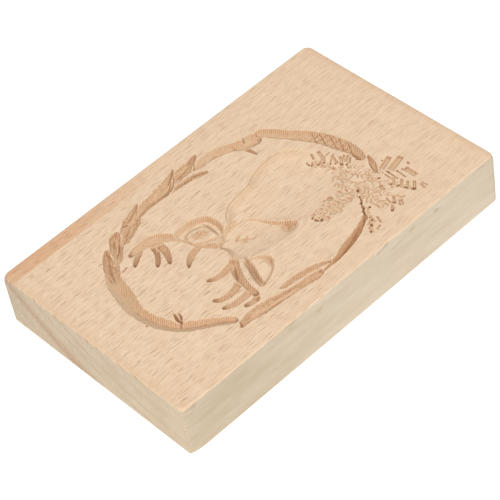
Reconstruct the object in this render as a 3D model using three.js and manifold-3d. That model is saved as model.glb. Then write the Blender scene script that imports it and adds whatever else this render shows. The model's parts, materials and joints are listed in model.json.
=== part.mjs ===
// Cookie mould: one beech board with a stag's head in a twig wreath cut into its face.
// Millimetres, +Z up out of the carved face, origin at the centre of the underside.
// +Y runs along the grain and the board's length, +X across the board.

import * as THREE from "three";
import { mergeVertices } from "three/addons/utils/BufferGeometryUtils.js";
import Module from "manifold-3d";

const wasm = await Module();
wasm.setup();
const { Manifold, Mesh } = wasm;

// Board
const BOARD_LENGTH = 145;
const BOARD_WIDTH = 90;
const BOARD_THICKNESS = 22;
const CORNER_RADIUS = 1.8;
const ARRIS_RADIUS = 1;

// Plain wood left round the figure, and the size at which the figure is drawn below
const SIDE_BORDER = 6.5;
const END_BORDER = 17;
const DRAWN_WIDTH = 77;
const DRAWN_LENGTH = 111;

// Depths of the cuts below the face
const WREATH_DEPTH = 2;
const ANTLER_DEPTH = 2.1;
const HEAD_DEPTH = 2;
const NECK_DEPTH = 1.4;
const EAR_DEPTH = 1.8;
const EAR_ISLAND_DEPTH = 0.8;
const EYE_DEPTH = 2.5;
const NOSTRIL_DEPTH = 2.5;
const CONE_DEPTH = 0.7;
const CONE_SCALE_DEPTH = 1.1;
const NEEDLE_DEPTH = 0.8;

// Sloped sides of the wide hollows, measured across the slope
const HEAD_SLOPE = 1.8;
const NECK_SLOPE = 3;
const EAR_SLOPE = 0.9;

// Fir needles and the scales of the cone
const NEEDLE_WIDTH = 1.1;
const NEEDLE_PITCH = 1.9;
const NEEDLE_ANGLE = THREE.MathUtils.degToRad(52);
const CONE_LENGTH = 17;
const CONE_WIDTH = 8;
const CONE_SCALE_PITCH = 2;

// A cutter starts this far above the face, so that it cuts the face cleanly
const CUTTER_RISE = 1;

// Facets: arcs of the board, stations along a gouge cut, and steps across round bottoms
const CORNER_SEGMENTS = 5;
const ARRIS_SEGMENTS = 3;
const STATION_PITCH = 3;
const GOUGE_STEPS = 6;
const NEEDLE_STEPS = 3;
const OUTLINE_STEPS_PER_POINT = 2;

// The figure keeps its proportions and fits inside both borders
const FIGURE_SCALE = Math.min(
  (BOARD_WIDTH - 2 * SIDE_BORDER) / DRAWN_WIDTH,
  (BOARD_LENGTH - 2 * END_BORDER) / DRAWN_LENGTH,
);

// Turns a closed geometry into a solid that can be joined and cut
function solidFrom(geometry) {
  const bare = geometry.clone();
  bare.deleteAttribute("normal");
  bare.deleteAttribute("uv");
  const merged = mergeVertices(bare, 1e-4);
  const vertProperties = new Float32Array(merged.attributes.position.array);
  const triVerts = new Uint32Array(merged.index.array);
  return new Manifold(new Mesh({ numProp: 3, vertProperties, triVerts }));
}

function joined(solids) {
  return solids.reduce((whole, next) => whole.add(next));
}

// The blank: a rectangle with round corners, and round arrises top and bottom
function boardBlank() {
  const halfWidth = BOARD_WIDTH / 2 - ARRIS_RADIUS;
  const halfLength = BOARD_LENGTH / 2 - ARRIS_RADIUS;
  const radius = CORNER_RADIUS - ARRIS_RADIUS;
  const outline = new THREE.Shape();
  const corners = [
    [1, -1],
    [1, 1],
    [-1, 1],
    [-1, -1],
  ];
  corners.forEach(([sideX, sideY], quarter) => {
    const start = (quarter - 1) * (Math.PI / 2);
    const x = sideX * (halfWidth - radius);
    const y = sideY * (halfLength - radius);
    outline.absarc(x, y, radius, start, start + Math.PI / 2, false);
  });
  outline.closePath();
  const geometry = new THREE.ExtrudeGeometry(outline, {
    depth: BOARD_THICKNESS - 2 * ARRIS_RADIUS,
    curveSegments: CORNER_SEGMENTS,
    bevelSize: ARRIS_RADIUS,
    bevelThickness: ARRIS_RADIUS,
    bevelSegments: ARRIS_SEGMENTS,
  });
  geometry.translate(0, 0, ARRIS_RADIUS);
  return solidFrom(geometry);
}

// Closed skin over rings of points that follow each other, with flat ends
function loft(rings) {
  const size = rings[0].length;
  const position = rings.flat().flatMap((point) => point.toArray());
  const index = [];
  for (let ring = 0; ring + 1 < rings.length; ring++) {
    for (let side = 0; side < size; side++) {
      const here = ring * size + side;
      const beside = ring * size + ((side + 1) % size);
      index.push(here, beside, beside + size);
      index.push(here, beside + size, here + size);
    }
  }
  const last = (rings.length - 1) * size;
  for (let side = 1; side + 1 < size; side++) {
    index.push(0, side + 1, side);
    index.push(last, last + side, last + side + 1);
  }
  const geometry = new THREE.BufferGeometry();
  geometry.setAttribute("position", new THREE.Float32BufferAttribute(position, 3));
  geometry.setIndex(index);
  return solidFrom(geometry);
}

// Section of a cut that heads along `heading`: steep at the face and round at the bottom
function gougeSection(centre, heading, halfWidth, depth, steps) {
  const ring = [];
  const place = (sideways, height) =>
    new THREE.Vector3(
      centre.x + heading.y * sideways,
      centre.y - heading.x * sideways,
      height,
    );
  ring.push(place(halfWidth, CUTTER_RISE));
  for (let step = 0; step <= steps; step++) {
    const angle = (Math.PI * step) / steps;
    const reach = Math.sign(Math.cos(angle)) * Math.abs(Math.cos(angle)) ** 0.75;
    ring.push(place(halfWidth * reach, -depth * Math.sin(angle) ** 0.75));
  }
  ring.push(place(-halfWidth, CUTTER_RISE));
  return ring;
}

// A gouge cut along a smooth path through [x, y, width] points, round at both ends.
// Its depth follows its width, so that narrow tips run out shallow.
function gouge(points, depth) {
  const path = new THREE.CatmullRomCurve3(
    points.map(([x, y, width]) => new THREE.Vector3(x, y, width)),
    false,
    "centripetal",
  );
  const widest = Math.max(...points.map((point) => point[2]));
  const steps = Math.max(3, Math.round(path.getLength() / STATION_PITCH));
  const rings = [];
  const station = (at, along, shrink) => {
    const point = path.getPointAt(at);
    const heading = path.getTangentAt(at).setZ(0).normalize();
    const halfWidth = (point.z / 2) * shrink;
    const centre = point.clone().addScaledVector(heading, along * (point.z / 2));
    const share = Math.sqrt(point.z / widest);
    rings.push(gougeSection(centre, heading, halfWidth, depth * share * shrink, GOUGE_STEPS));
  };
  station(0, -0.9, 0.4);
  for (let step = 0; step <= steps; step++) station(step / steps, 0, 1);
  station(1, 0.9, 0.4);
  return loft(rings);
}

// A hollow inside a smooth closed outline, with a flat floor and sloped sides
function hollow(outlinePoints, depth, slope) {
  const curve = new THREE.CatmullRomCurve3(
    outlinePoints.map(([x, y]) => new THREE.Vector3(x, y, 0)),
    true,
    "centripetal",
  );
  const steps = outlinePoints.length * OUTLINE_STEPS_PER_POINT;
  const outline = curve.getSpacedPoints(steps).slice(0, steps);
  const shape = new THREE.Shape(outline.map((point) => new THREE.Vector2(point.x, point.y)));
  const rise = depth * 0.8;
  const geometry = new THREE.ExtrudeGeometry(shape, {
    depth: depth + CUTTER_RISE - rise,
    bevelSize: slope,
    bevelOffset: -slope,
    bevelThickness: rise,
    bevelSegments: 2,
  });
  geometry.translate(0, 0, rise - depth);
  return solidFrom(geometry);
}

// A small rounded pit: the lower half of an egg, with its centre on the face
function pit([x, y], lengthX, lengthY, depth) {
  const geometry = new THREE.SphereGeometry(1, 8, 4);
  geometry.rotateX(Math.PI / 2);
  geometry.scale(lengthX / 2, lengthY / 2, depth);
  geometry.translate(x, y, 0);
  return solidFrom(geometry);
}

// The oval wreath of broken twigs, clockwise from its upper left
function wreath() {
  const twigs = [
    // upper left, over the top
    [[-31, 34.6, 2.6], [-25, 41, 4], [-19, 48.3, 4.6], [-10, 52.8, 5], [0, 53.4, 5], [10, 51.5, 4.6], [18, 46.6, 4]],
    // two thorns that point into the oval
    [[-18.5, 48, 1.2], [-16.3, 47.2, 1.6], [-12.4, 46.4, 1]],
    [[-17.3, 46.3, 1], [-15, 45.6, 1.2], [-13.4, 45.1, 0.8]],
    // upper right, three twigs that overlap like roof tiles
    [[14, 49.4, 4.6], [18, 45.6, 5], [22, 43, 4.2], [25.6, 42.2, 1.6]],
    [[20.5, 43, 4], [23.5, 39, 5], [26, 36, 6], [28.5, 33, 4.6], [30, 33, 1.6]],
    [[24.5, 36, 3], [27.6, 30.5, 6], [30.4, 25.5, 5.6], [33.4, 22.6, 1.4]],
    // right side, splitting in two at its lower end
    [[30.5, 25, 4.6], [31.2, 20, 4.2], [31.4, 15, 5], [32.4, 10, 5], [33, 5, 5.4], [33.2, 0, 5.6], [34.8, -5, 3.4], [36, -7.6, 1.2]],
    [[29.8, 13, 2], [29.2, 6, 2.4], [28.4, 1, 2.6], [26.6, -4.8, 1.2]],
    [[35, 6, 2], [36.6, 2.6, 1]],
    // lower right, with a side thorn
    [[31.6, -3, 4.2], [31, -10, 4.2], [30, -14.5, 4.4], [28.3, -18, 4.6], [25, -24, 6], [24.4, -29, 6.2]],
    [[27, -19.6, 3], [23, -21.4, 1.8], [18.8, -22, 0.8]],
    // bottom
    [[26, -28.5, 3], [23, -31.6, 4.6], [18, -34.3, 4.6], [12, -38.5, 4.6], [6, -41.4, 4.8], [0, -43.2, 5], [-6, -44.2, 4], [-11, -43.4, 3.2], [-18, -42.3, 1.6]],
    // lower left, narrow
    [[-36.8, -1, 1.8], [-36.2, -7, 2.4], [-35.2, -11, 3], [-33, -19, 2.6], [-28, -25.7, 1.6], [-20, -31, 1]],
    // upper left side, with a finger that bends inwards
    [[-36.4, 2.6, 3.2], [-36.4, 8, 3.4], [-35, 17, 3.2], [-33.8, 25, 4.6], [-32.6, 33, 3], [-33.8, 36.4, 1]],
    [[-34, 4.5, 1.6], [-32.9, 8, 2], [-31.6, 13, 2], [-31.4, 16.8, 1.4]],
  ];
  return twigs.map((points) => gouge(points, WREATH_DEPTH));
}

// The two antlers: a main beam each, and the tines that leave it
function antlers() {
  const cuts = [
    // left beam and its tines, from the outer tip inwards
    [[-10.2, 17.4, 3.2], [-14, 20, 3], [-18, 21.8, 2.8], [-22, 22.8, 2.6], [-26, 23, 2.4], [-28.5, 23.7, 2.4]],
    [[-28.5, 23.7, 2.4], [-28.8, 26.5, 2.4], [-28.2, 29.5, 1.8]],
    [[-24.2, 23.2, 2.8], [-25, 27, 2.8], [-24.8, 30.5, 2.4], [-23.4, 34.8, 1.4]],
    [[-19.3, 23.6, 2.8], [-20.6, 28, 2.7], [-20.4, 31.5, 2.4], [-18.6, 34.4, 1.4]],
    [[-11.4, 18.6, 2.6], [-12.2, 23, 2.5], [-12, 27, 2.3], [-10.8, 29.9, 1.4]],
    // right beam, its brow tine and the three tines near its tip
    [[-3, 16.4, 3], [0.6, 18.8, 3], [5, 21.6, 3], [10, 22.6, 3.2], [14, 25, 3.6], [17, 29, 4.5], [18, 34, 3.6], [17.3, 38.8, 1.2]],
    [[2.6, 21, 2.8], [2.3, 22.5, 2.8], [1.4, 25, 2.6], [0, 27.5, 2], [-1.6, 29.2, 1]],
    [[6.8, 35.7, 1], [8.3, 34.2, 1.6], [10, 32.7, 1.8], [12, 31.3, 2], [15, 30.4, 2.4]],
    [[4.6, 32.2, 1], [6.5, 30.9, 1.8], [8.5, 29.8, 2.2], [11, 29.2, 2.8], [15, 29, 2.8]],
    [[12.8, 40.6, 1], [13.8, 39, 1.6], [14.8, 37.3, 1.8], [16.2, 34.6, 2]],
  ];
  return cuts.map((points) => gouge(points, ANTLER_DEPTH));
}

// The head, seen half from the side, deeper than the neck so that the jaw stands as a step
function head() {
  const outline = [
    [-10, 18], [-5.5, 16.2], [-2, 17.8], [0.8, 15], [1.4, 11], [2.2, 7], [1.2, 1.8], [-2, -1.2],
    [-6, -2.8], [-10, -5.2], [-13.4, -8.2], [-16, -7.6], [-17.5, -3.4], [-17.2, 3], [-15.8, 10], [-13, 16],
  ];
  return [
    hollow(outline, HEAD_DEPTH, HEAD_SLOPE),
    pit([-5.6, 8.6], 3.8, 2.8, EYE_DEPTH),
    pit([-15.2, -3.6], 1.8, 1.4, NOSTRIL_DEPTH),
    pit([-13.4, -5], 1.4, 1.2, NOSTRIL_DEPTH),
  ];
}

function neck() {
  const outline = [
    [-1, 8], [3, 7.4], [7, 4], [9.2, -2], [10.3, -9.4], [12.6, -14], [14, -21], [13.4, -28],
    [9.4, -34], [2, -35], [-6, -37], [-14, -37], [-16, -28], [-16, -18], [-15, -9.5], [-8, -2],
  ];
  return [hollow(outline, NECK_DEPTH, NECK_SLOPE)];
}

// Each ear is a deep rim round a shallower inner leaf
function ear(outline, leaf) {
  const rim = hollow(outline, EAR_DEPTH, EAR_SLOPE);
  const ground = hollow(leaf, EAR_DEPTH + CUTTER_RISE, EAR_SLOPE);
  const above = hollow(leaf, EAR_ISLAND_DEPTH, EAR_SLOPE / 2);
  return rim.subtract(ground).add(above);
}

function ears() {
  const leftOutline = [
    [-26, 19.3], [-20, 18.2], [-14.4, 16.4], [-13.2, 14.4], [-16, 10.4], [-19, 8.9], [-22.4, 10.3], [-25, 14.5],
  ];
  const leftLeaf = [[-24.6, 17.2], [-20.4, 16], [-17.2, 14.6], [-19.4, 12.4], [-22.4, 12.6]];
  const rightOutline = [
    [3, 19.4], [6, 21.4], [11, 23.8], [13.8, 21.6], [13.8, 15], [11, 10], [6, 8.9], [1.4, 10.6], [0.4, 14],
  ];
  const rightLeaf = [[2.6, 13.6], [5.6, 13.2], [9, 14.4], [9.6, 18.2], [7.4, 20.4], [4.4, 18.6]];
  return [ear(leftOutline, leftLeaf), ear(rightOutline, rightLeaf)];
}

// A pine cone: a shallow egg with rows of scales set half a pitch apart
function cone() {
  const centre = [-18.8, -20.3];
  const pits = [pit(centre, CONE_WIDTH, CONE_LENGTH, CONE_DEPTH)];
  const rows = Math.floor(CONE_LENGTH / CONE_SCALE_PITCH);
  for (let row = 0; row < rows; row++) {
    const up = (row - (rows - 1) / 2) * CONE_SCALE_PITCH;
    const reach = (CONE_WIDTH / 2) * Math.sqrt(1 - ((2 * up) / CONE_LENGTH) ** 2);
    const across = Math.max(1, Math.round((2 * reach) / CONE_SCALE_PITCH) - (row % 2));
    for (let place = 0; place < across; place++) {
      const x = centre[0] + (place - (across - 1) / 2) * CONE_SCALE_PITCH;
      const size = CONE_SCALE_PITCH * 0.78;
      pits.push(pit([x, centre[1] + up], size, size, CONE_SCALE_DEPTH));
    }
  }
  return pits;
}

// A fir needle: a short straight cut, thin at its root and square at its tip
function needle(root, angle, length) {
  const heading = new THREE.Vector2(Math.cos(angle), Math.sin(angle));
  const rings = [
    [0, 0.5],
    [0.4, 1],
    [1, 0.9],
  ].map(([along, share]) => {
    const centre = root.clone().addScaledVector(heading, length * along);
    return gougeSection(centre, heading, (NEEDLE_WIDTH / 2) * share, NEEDLE_DEPTH * share, NEEDLE_STEPS);
  });
  return loft(rings);
}

// A fir sprig: pairs of needles that leave a straight stem at one angle
function sprig([startX, startY], [endX, endY], needleLength) {
  const start = new THREE.Vector2(startX, startY);
  const stem = new THREE.Vector2(endX, endY).sub(start);
  const heading = stem.angle();
  const count = Math.floor(stem.length() / NEEDLE_PITCH);
  const cuts = [];
  for (let pair = 0; pair <= count; pair++) {
    const root = start.clone().addScaledVector(stem, pair / count);
    const taper = 1 - 0.35 * (pair / count);
    for (const side of [-1, 1]) {
      cuts.push(needle(root, heading + side * NEEDLE_ANGLE, needleLength * taper));
    }
  }
  return cuts;
}

function sprigs() {
  return [
    ...sprig([-27, -28], [-35.6, -20.6], 2.8),
    ...sprig([-20, -32.6], [-35, -35.6], 3.4),
    ...sprig([-19, -37.4], [-34.4, -44.6], 3.4),
    ...sprig([-17.6, -38], [-20.6, -49.6], 3.6),
    ...sprig([-13, -37.6], [2.4, -32.2], 3),
  ];
}

// The figure is drawn at its own size with the face at height 0, then set into the board
function figure() {
  const cuts = [...wreath(), ...antlers(), ...head(), ...neck(), ...ears(), ...cone(), ...sprigs()];
  return joined(cuts)
    .scale([FIGURE_SCALE, FIGURE_SCALE, 1])
    .translate([0, 0, BOARD_THICKNESS]);
}

function geometryFrom(solid) {
  const { numProp, vertProperties, triVerts } = solid.getMesh();
  const geometry = new THREE.BufferGeometry();
  geometry.setAttribute("position", new THREE.BufferAttribute(vertProperties, numProp));
  geometry.setIndex(new THREE.BufferAttribute(triVerts, 1));
  geometry.computeVertexNormals();
  return geometry;
}

function beech() {
  return new THREE.MeshStandardMaterial({ color: "#e6c8a4", roughness: 0.62, metalness: 0 });
}

const board = new THREE.Mesh(geometryFrom(boardBlank().subtract(figure())), beech());
board.name = "mould_board";

const cookieMould = new THREE.Group();
cookieMould.add(board);

export default cookieMould;
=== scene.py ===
"""A beech cookie mould with a stag's head in a twig wreath cut into its face."""

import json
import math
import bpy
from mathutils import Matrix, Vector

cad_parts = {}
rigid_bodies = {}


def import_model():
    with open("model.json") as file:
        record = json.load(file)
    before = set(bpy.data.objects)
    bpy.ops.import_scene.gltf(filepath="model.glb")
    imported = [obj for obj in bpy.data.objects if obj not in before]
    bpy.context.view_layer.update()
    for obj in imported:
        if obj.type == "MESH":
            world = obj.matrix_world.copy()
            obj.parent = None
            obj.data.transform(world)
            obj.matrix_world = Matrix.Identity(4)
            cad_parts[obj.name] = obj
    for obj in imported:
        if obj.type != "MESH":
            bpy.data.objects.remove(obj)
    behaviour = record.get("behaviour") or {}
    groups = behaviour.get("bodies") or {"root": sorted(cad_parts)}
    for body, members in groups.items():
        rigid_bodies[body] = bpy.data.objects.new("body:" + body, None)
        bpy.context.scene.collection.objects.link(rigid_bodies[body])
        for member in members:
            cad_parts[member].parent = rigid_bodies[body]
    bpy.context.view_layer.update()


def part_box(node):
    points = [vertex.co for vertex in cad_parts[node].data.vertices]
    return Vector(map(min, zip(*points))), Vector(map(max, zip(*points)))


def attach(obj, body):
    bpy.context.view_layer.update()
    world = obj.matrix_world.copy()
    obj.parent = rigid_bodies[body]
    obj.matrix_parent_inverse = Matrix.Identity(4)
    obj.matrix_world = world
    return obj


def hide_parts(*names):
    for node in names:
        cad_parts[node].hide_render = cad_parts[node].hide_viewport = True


bl_info = {
    "name": "Carved Cookie Mould",
    "version": (1, 0, 0),
    "blender": (4, 5, 0),
    "location": "View3D > Sidebar > Cookie Mould",
    "description": "Builds a beech cookie mould with a stag's head in a twig wreath cut into its face",
    "category": "Add Mesh",
}

import bpy
import numpy as np
from bpy.props import FloatProperty, FloatVectorProperty, IntProperty, PointerProperty
from mathutils import Matrix, Vector
from mathutils.geometry import tessellate_polygon

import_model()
BOARD_LOW, BOARD_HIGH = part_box("mould_board")

MM = 0.001
FACE = BOARD_HIGH.z
CUTTERS = "Mould cutters"
SANDED, CUT = range(2)
GEOMETRY_TREE, SHADER_TREE = "GeometryNodeTree", "ShaderNodeTree"

# Axis of the growth rings, parallel to Y, and the two radii of the pinkish strip, in millimetres
RING_X = -40.0
RING_Z = 119.0
HEART_RADII = (124.6, 130.0)

# Upright corners, anticlockwise from +X +Y: how far each is rounded across and along the board
CORNERS = ((1.2, 3.0), (1.5, 7.0), (1.2, 1.6), (1.6, 1.6))

# Steps round an upright corner, round a sanded edge, and up to where the corners are widest
CORNER_STEPS, ARRIS_STEPS, CROWN_STEPS = 12, 6, 4

# Distance of the loops that hold each rounded edge, in millimetres
HOLD = 0.4

# Half the size of the carved field, the least and the most that a facet of it may lie below the
# face, all in millimetres, the largest square of its surface in cells, and the angle in degrees
# from which two facets meet in a sharp edge
FIELD_REACH = (42, 57.6)
SHALLOWEST = 0.01
DEEPEST = 6
LARGEST_SQUARE = 16
SHARP_ANGLE = 38

# How much the cutter climbs, in millimetres each millimetre, where it begins to tear the wood and
# where it tears it fully, and how far its passes sway, as a share of the distance between them
TEARING_CLIMB = (0.25, 0.65)
PASS_SWAY = 0.12
SWAY_REACH = 6

# Roughness of torn and of fuzzy wood beside the height of the ridges
TORN_GRIT = 0.4
FUZZ_GRIT = 0.8

# Wood is fuzzy this share of a pit's width round the pit, where the head is at least this deep
FUZZ_MARGIN = 0.4
FUZZ_GROUND = 0.3

# Cutters that stain less than this are pressed into the ground instead of cutting through it
PRESSED_STAIN = 0.6

# Least depth that counts as cut, and as deep enough for a crack, in millimetres
TOUCH = 0.05
CRACKED_DEPTH = 0.2

# Width of a shaded spot beside its length, its depth beside that of a crack, and how quickly its
# painted shade gets dark from its edge inwards
SPOT_ROUNDNESS = 0.6
SPOT_DEPTH = 0.6
SPOT_GAIN = 1.5

# How dark each kind of mark is, beside 1 for the darkest, and how much of a crease is dark; crack, line and
# spot marks are painted shade
CREASE_STAIN = 0.8
FUZZ_STAIN = 0.5
CRACK_SHADE = 0.4
LINE_SHADE = 0.7
SPOT_SHADE = 0.85
CREASE_CORE = 0.3

# How far a place must stand off its surroundings to get painted shade as a crease or a painted highlight as
# a ridge, in millimetres
CREASE_SHADE_RELIEF = (0.06, 0.22)
RIDGE_HIGHLIGHT_RELIEF = (0.04, 0.18)

# Length of the needles at the tip of a sprig beside those at its root
SPRIG_TIP = 0.65

# Height of the fine relief of the wood, in millimetres
BUMP_DISTANCE = 0.05

# The figure, in millimetres on the face: x across the board, y along it, both from its centre.
# Each cut that follows a path is a list of (x, y, width).

WREATH_TWIGS = [
    # upper left, over the top
    [(-31, 34.6, 2.6), (-28, 37.5, 3.6), (-25, 41, 4), (-22, 45, 4.4), (-19, 48.3, 4.6), (-15, 51, 4.8),
     (-10, 52.8, 5), (-5, 53.6, 5), (0, 53.3, 5.6), (3, 52.5, 6.4), (7, 51.3, 6.6), (10, 50.7, 6.2),
     (14, 49.2, 5.6), (18, 46.6, 4.6)],
]

# Twigs whose near side is steep, so that only their ribbed far side shows from the front
RIBBED_TWIGS = [
    # lower right, with a side thorn
    [(32, -1.5, 2.6), (31, -5, 3.8), (31, -10, 4.2), (30, -14.5, 4.4), (28.3, -18, 4.6), (26, -22, 5.4),
     (24.9, -26, 6.2), (24.4, -29, 6)],
    [(27, -23, 1.6), (28.4, -24.6, 0.9)],
    # bottom
    [(26.8, -28, 2.6), (24.5, -30.5, 4.2), (21, -32.8, 4.6), (18, -34.6, 4.8), (12, -38.5, 5.2),
     (6, -41.5, 5.6), (0, -43, 5.8), (-5, -44, 5), (-9, -43.6, 4), (-12, -42.6, 2.8)],
    # finger beside the upper left side
    [(-31.4, 16.8, 0.8), (-32, 15.2, 1.8), (-32, 12.6, 2.2), (-32.2, 10.2, 2.4), (-32.7, 7.8, 2.6),
     (-33.2, 5, 2.6), (-34, 2, 2.4), (-35, -0.8, 1.8), (-36.2, -3, 1)],
]

# Twigs with a broad floor
ROUND_TWIGS = [
    # upper right, three twigs that overlap like roof tiles
    [(13, 49.6, 4.6), (16.5, 47.4, 5), (19.4, 45.6, 5.2), (22, 44.4, 4.2), (24.4, 43, 2.6),
     (26, 41.8, 1)],
    [(18.4, 44, 4.2), (21.8, 41, 4.4), (24.2, 38.8, 4.8), (26.4, 37, 5), (28.2, 35.4, 4.2),
     (29.6, 34, 1.6)],
    [(23.4, 36.8, 3.6), (25.8, 33, 5), (27.6, 30, 5.8), (29.4, 27, 6.2), (31.4, 24.4, 3.8),
     (32.8, 22.6, 2), (34, 20.8, 0.5)],
    # right side, which splits in three at its lower end
    [(29.6, 25, 3.8), (30.6, 20.6, 4), (31, 16, 4.8), (31.3, 11.6, 5.6), (32.5, 7.8, 5), (34.2, 5, 2.8),
     (35.6, 3, 1.4), (36.6, 1.6, 0.5)],
    [(31.6, 7, 2.6), (32.6, 3, 4.8), (33, -1.5, 4.8), (34.2, -4.8, 3), (35.2, -7.2, 1.6),
     (35.6, -8.2, 0.6)],
    [(29.2, 10.6, 1.8), (29, 6, 2.2), (28.7, 3, 2.4), (28.1, 0, 2.8), (27.2, -2.8, 2.6), (26, -5.4, 1.2)],
    # thorn of the lower right
    [(28.4, -18.6, 3), (25.4, -20.8, 2.4), (22, -21.4, 1.8), (18.5, -21.9, 0.8)],
    # upper left side
    [(-36.5, 1.8, 2.6), (-36.6, 5, 3.4), (-36.2, 9, 3.2), (-35.7, 13, 3), (-34.8, 18, 3.6),
     (-34, 22, 4.4), (-33.3, 27, 4.8), (-32.8, 31, 4), (-33, 34, 2.4), (-34, 36.6, 1)],
]

# Twigs with steep sides: lower left, the end of the bottom one, the joint at the upper left
STEEP_TWIGS = [
    [(-37.2, 2.6, 0.8), (-36.9, -1, 1.3), (-36.7, -4, 2), (-36.2, -7, 2.5), (-35.2, -11, 3.2),
     (-34.3, -15, 3.2), (-33, -19, 2.6), (-31.3, -22.8, 1.7), (-29.6, -25.2, 1)],
    [(-2.5, -42.4, 1), (-6, -43.2, 1.8), (-9, -43, 2.4), (-11.4, -42.2, 2.2)],
    [(-33.6, 36, 1.2), (-33.2, 35, 1.8), (-31.6, 34.6, 1.6)],
]

# Cracks in the bark, deeper than the twig that they are in, darkened with painted shade
BARK_CRACKS = [
    # upper right
    [(20.4, 43.9, 0.5), (22, 43.2, 0.7), (24.3, 42.6, 0.5)],
    [(21.4, 41.5, 0.5), (22.6, 39.9, 0.7), (24, 38.2, 0.7), (26, 36.6, 0.5)],
    [(24.3, 36, 0.5), (24.8, 34.2, 0.7), (25.8, 33, 0.5)],
    [(29, 27.6, 0.5), (29.2, 25, 0.6)],
    [(30, 31, 0.5), (30.3, 28.8, 0.6)],
    # right side
    [(29.7, 13.4, 0.5), (30.3, 10.4, 1.1), (31.2, 7.2, 0.8), (33, 4.7, 0.6), (35.4, 3, 0.5)],
    [(31, -3, 0.5), (32.8, -4.8, 0.8), (34.4, -7, 0.6)],
    [(30.2, 1.6, 0.5), (29.8, -3, 0.6)],
    # bottom
    [(10.6, -38.6, 0.3), (8.8, -42.6, 0.4)],
    [(8.4, -39.8, 0.3), (6.2, -44.2, 0.4)],
    [(5.8, -41, 0.3), (3.8, -45.4, 0.4)],
    [(3.2, -41.8, 0.3), (1.2, -46, 0.4)],
    [(0.4, -42.2, 0.3), (-1.6, -46.4, 0.4)],
    [(-2.2, -42.8, 0.3), (-4, -46.2, 0.3)],
    [(11.6, -41.2, 0.3), (7.4, -39.6, 0.4)],
    [(10, -43, 0.3), (3.6, -40.8, 0.4)],
    [(6.6, -44.4, 0.3), (-0.6, -42, 0.4)],
    [(2.8, -45.4, 0.3), (-3, -42.8, 0.4)],
    [(-0.6, -46.2, 0.3), (-5.2, -44, 0.3)],
    [(-17.5, -42, 0.5), (-14.5, -43.2, 0.6)],
]

# Lines of painted shade at the foot of walls, where twigs overlap and inside the ears and antler
SHADE_LINES = [
    # where the upper right twigs overlap
    [(21.6, 45, 0.8), (19, 46.4, 1.6), (16.4, 47.8, 1.6), (13.8, 49, 0.8)],
    [(25.6, 42.4, 0.4), (22.8, 43.8, 0.9), (19.6, 45.8, 0.5)],
    [(29.6, 34.6, 0.4), (27.4, 37.4, 0.9), (25.2, 39.4, 0.5)],
    # right side
    [(33.6, 21, 0.4), (31.8, 25, 0.8), (30.8, 28.6, 0.5)],
    [(30.2, 17, 0.4), (30.4, 12.4, 1), (31.2, 8.6, 1.1), (33.4, 5.8, 0.5)],
    [(33.2, 2, 0.4), (33.8, -2.6, 0.8), (35, -6.6, 0.5)],
    # the steep twig at the upper left
    [(-37, -3, 0.6), (-36.6, -6, 1.1), (-35.6, -10, 1.5), (-34.7, -13, 1.5), (-33.4, -17, 1.2),
     (-32.4, -19.6, 0.7)],
    # the forked thorn and the end of the bottom twig
    [(-12.8, 46.5, 0.6), (-15.4, 47.3, 1.3), (-16.8, 47, 1.2), (-18.2, 48.6, 1)],
    [(-4.6, -43.8, 0.6), (-7.2, -43.4, 1.5), (-9.6, -43.2, 1.3), (-10.8, -42.8, 0.6)],
    # right ear, left ear, left antler
    [(10.2, 12.2, 0.8), (8.4, 11.7, 1.2), (6.2, 11.7, 1), (3.6, 12, 0.6)],
    [(-12.8, 14.3, 1.2), (-14.8, 15, 2.2), (-17.8, 16.1, 2.4), (-21.3, 17.4, 2.2), (-24.2, 18.2, 1.2)],
    [(-13.2, 9.4, 0.6), (-13.9, 8.2, 1.4), (-15.4, 7.4, 0.8)],
    [(-12.6, 19, 0.8), (-14.8, 20.6, 1.6), (-17.4, 22.4, 1.2)],
]

WREATH_THORNS = [
    # over the top: a forked thorn and two small ones
    [(-18.6, 48.8, 1), (-17.2, 47.2, 1.2), (-15.6, 47.4, 1.3), (-14.2, 46.9, 1.1), (-12.4, 46.4, 0.6)],
    [(-16.8, 46.5, 0.5), (-15.4, 45.8, 0.8), (-13.6, 45.1, 0.5)],
    [(-9.8, 55.2, 1), (-9.6, 56.2, 0.9)],
    [(14, 45.4, 0.5), (14.6, 42.4, 0.5)],
    # short twig beyond the end of the bottom one
    [(-11.4, -45.4, 0.6), (-13.4, -44.6, 1.8), (-15.8, -43.4, 2.4), (-18.4, -42, 1.8), (-20, -41, 0.6)],
    # stem between the cone and the twigs
    [(-19.6, -31.7, 0.3), (-20.6, -31, 0.9), (-21.6, -30.6, 0.5)],
    [(-23, -29.3, 0.3), (-24.8, -28.5, 0.7), (-26.4, -27, 0.4), (-27.6, -26.6, 0.9), (-29, -25.2, 0.6),
     (-31, -24.4, 0.9), (-32.4, -23, 0.7)],
]

LEFT_ANTLER = [
    # the beam, then its tines from the outer tip inwards
    [(-9.6, 17.2, 2.6), (-11.4, 18.2, 3.4), (-14, 20, 3.6), (-18, 21.8, 3.2), (-22, 22.6, 2.6),
     (-26, 23, 2.4), (-28.4, 23.8, 2.2)],
    [(-28, 23.2, 2.2), (-28.9, 25, 2.4), (-28.8, 27.2, 2.3), (-28.2, 29.6, 1.4)],
    [(-24, 22.8, 2.6), (-25, 25.4, 2.9), (-25.1, 29, 2.7), (-24.6, 32, 2.4), (-23.3, 35, 1.2)],
    [(-19, 22.8, 2.8), (-20.3, 26, 2.8), (-20.7, 29.4, 2.6), (-20.1, 32.6, 2.3), (-18.3, 34.6, 1.2)],
    [(-11.2, 18.6, 2.4), (-12, 21.5, 2.6), (-12.3, 24.5, 2.5), (-12, 27.4, 2.2), (-10.6, 30, 1.2)],
]

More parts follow.
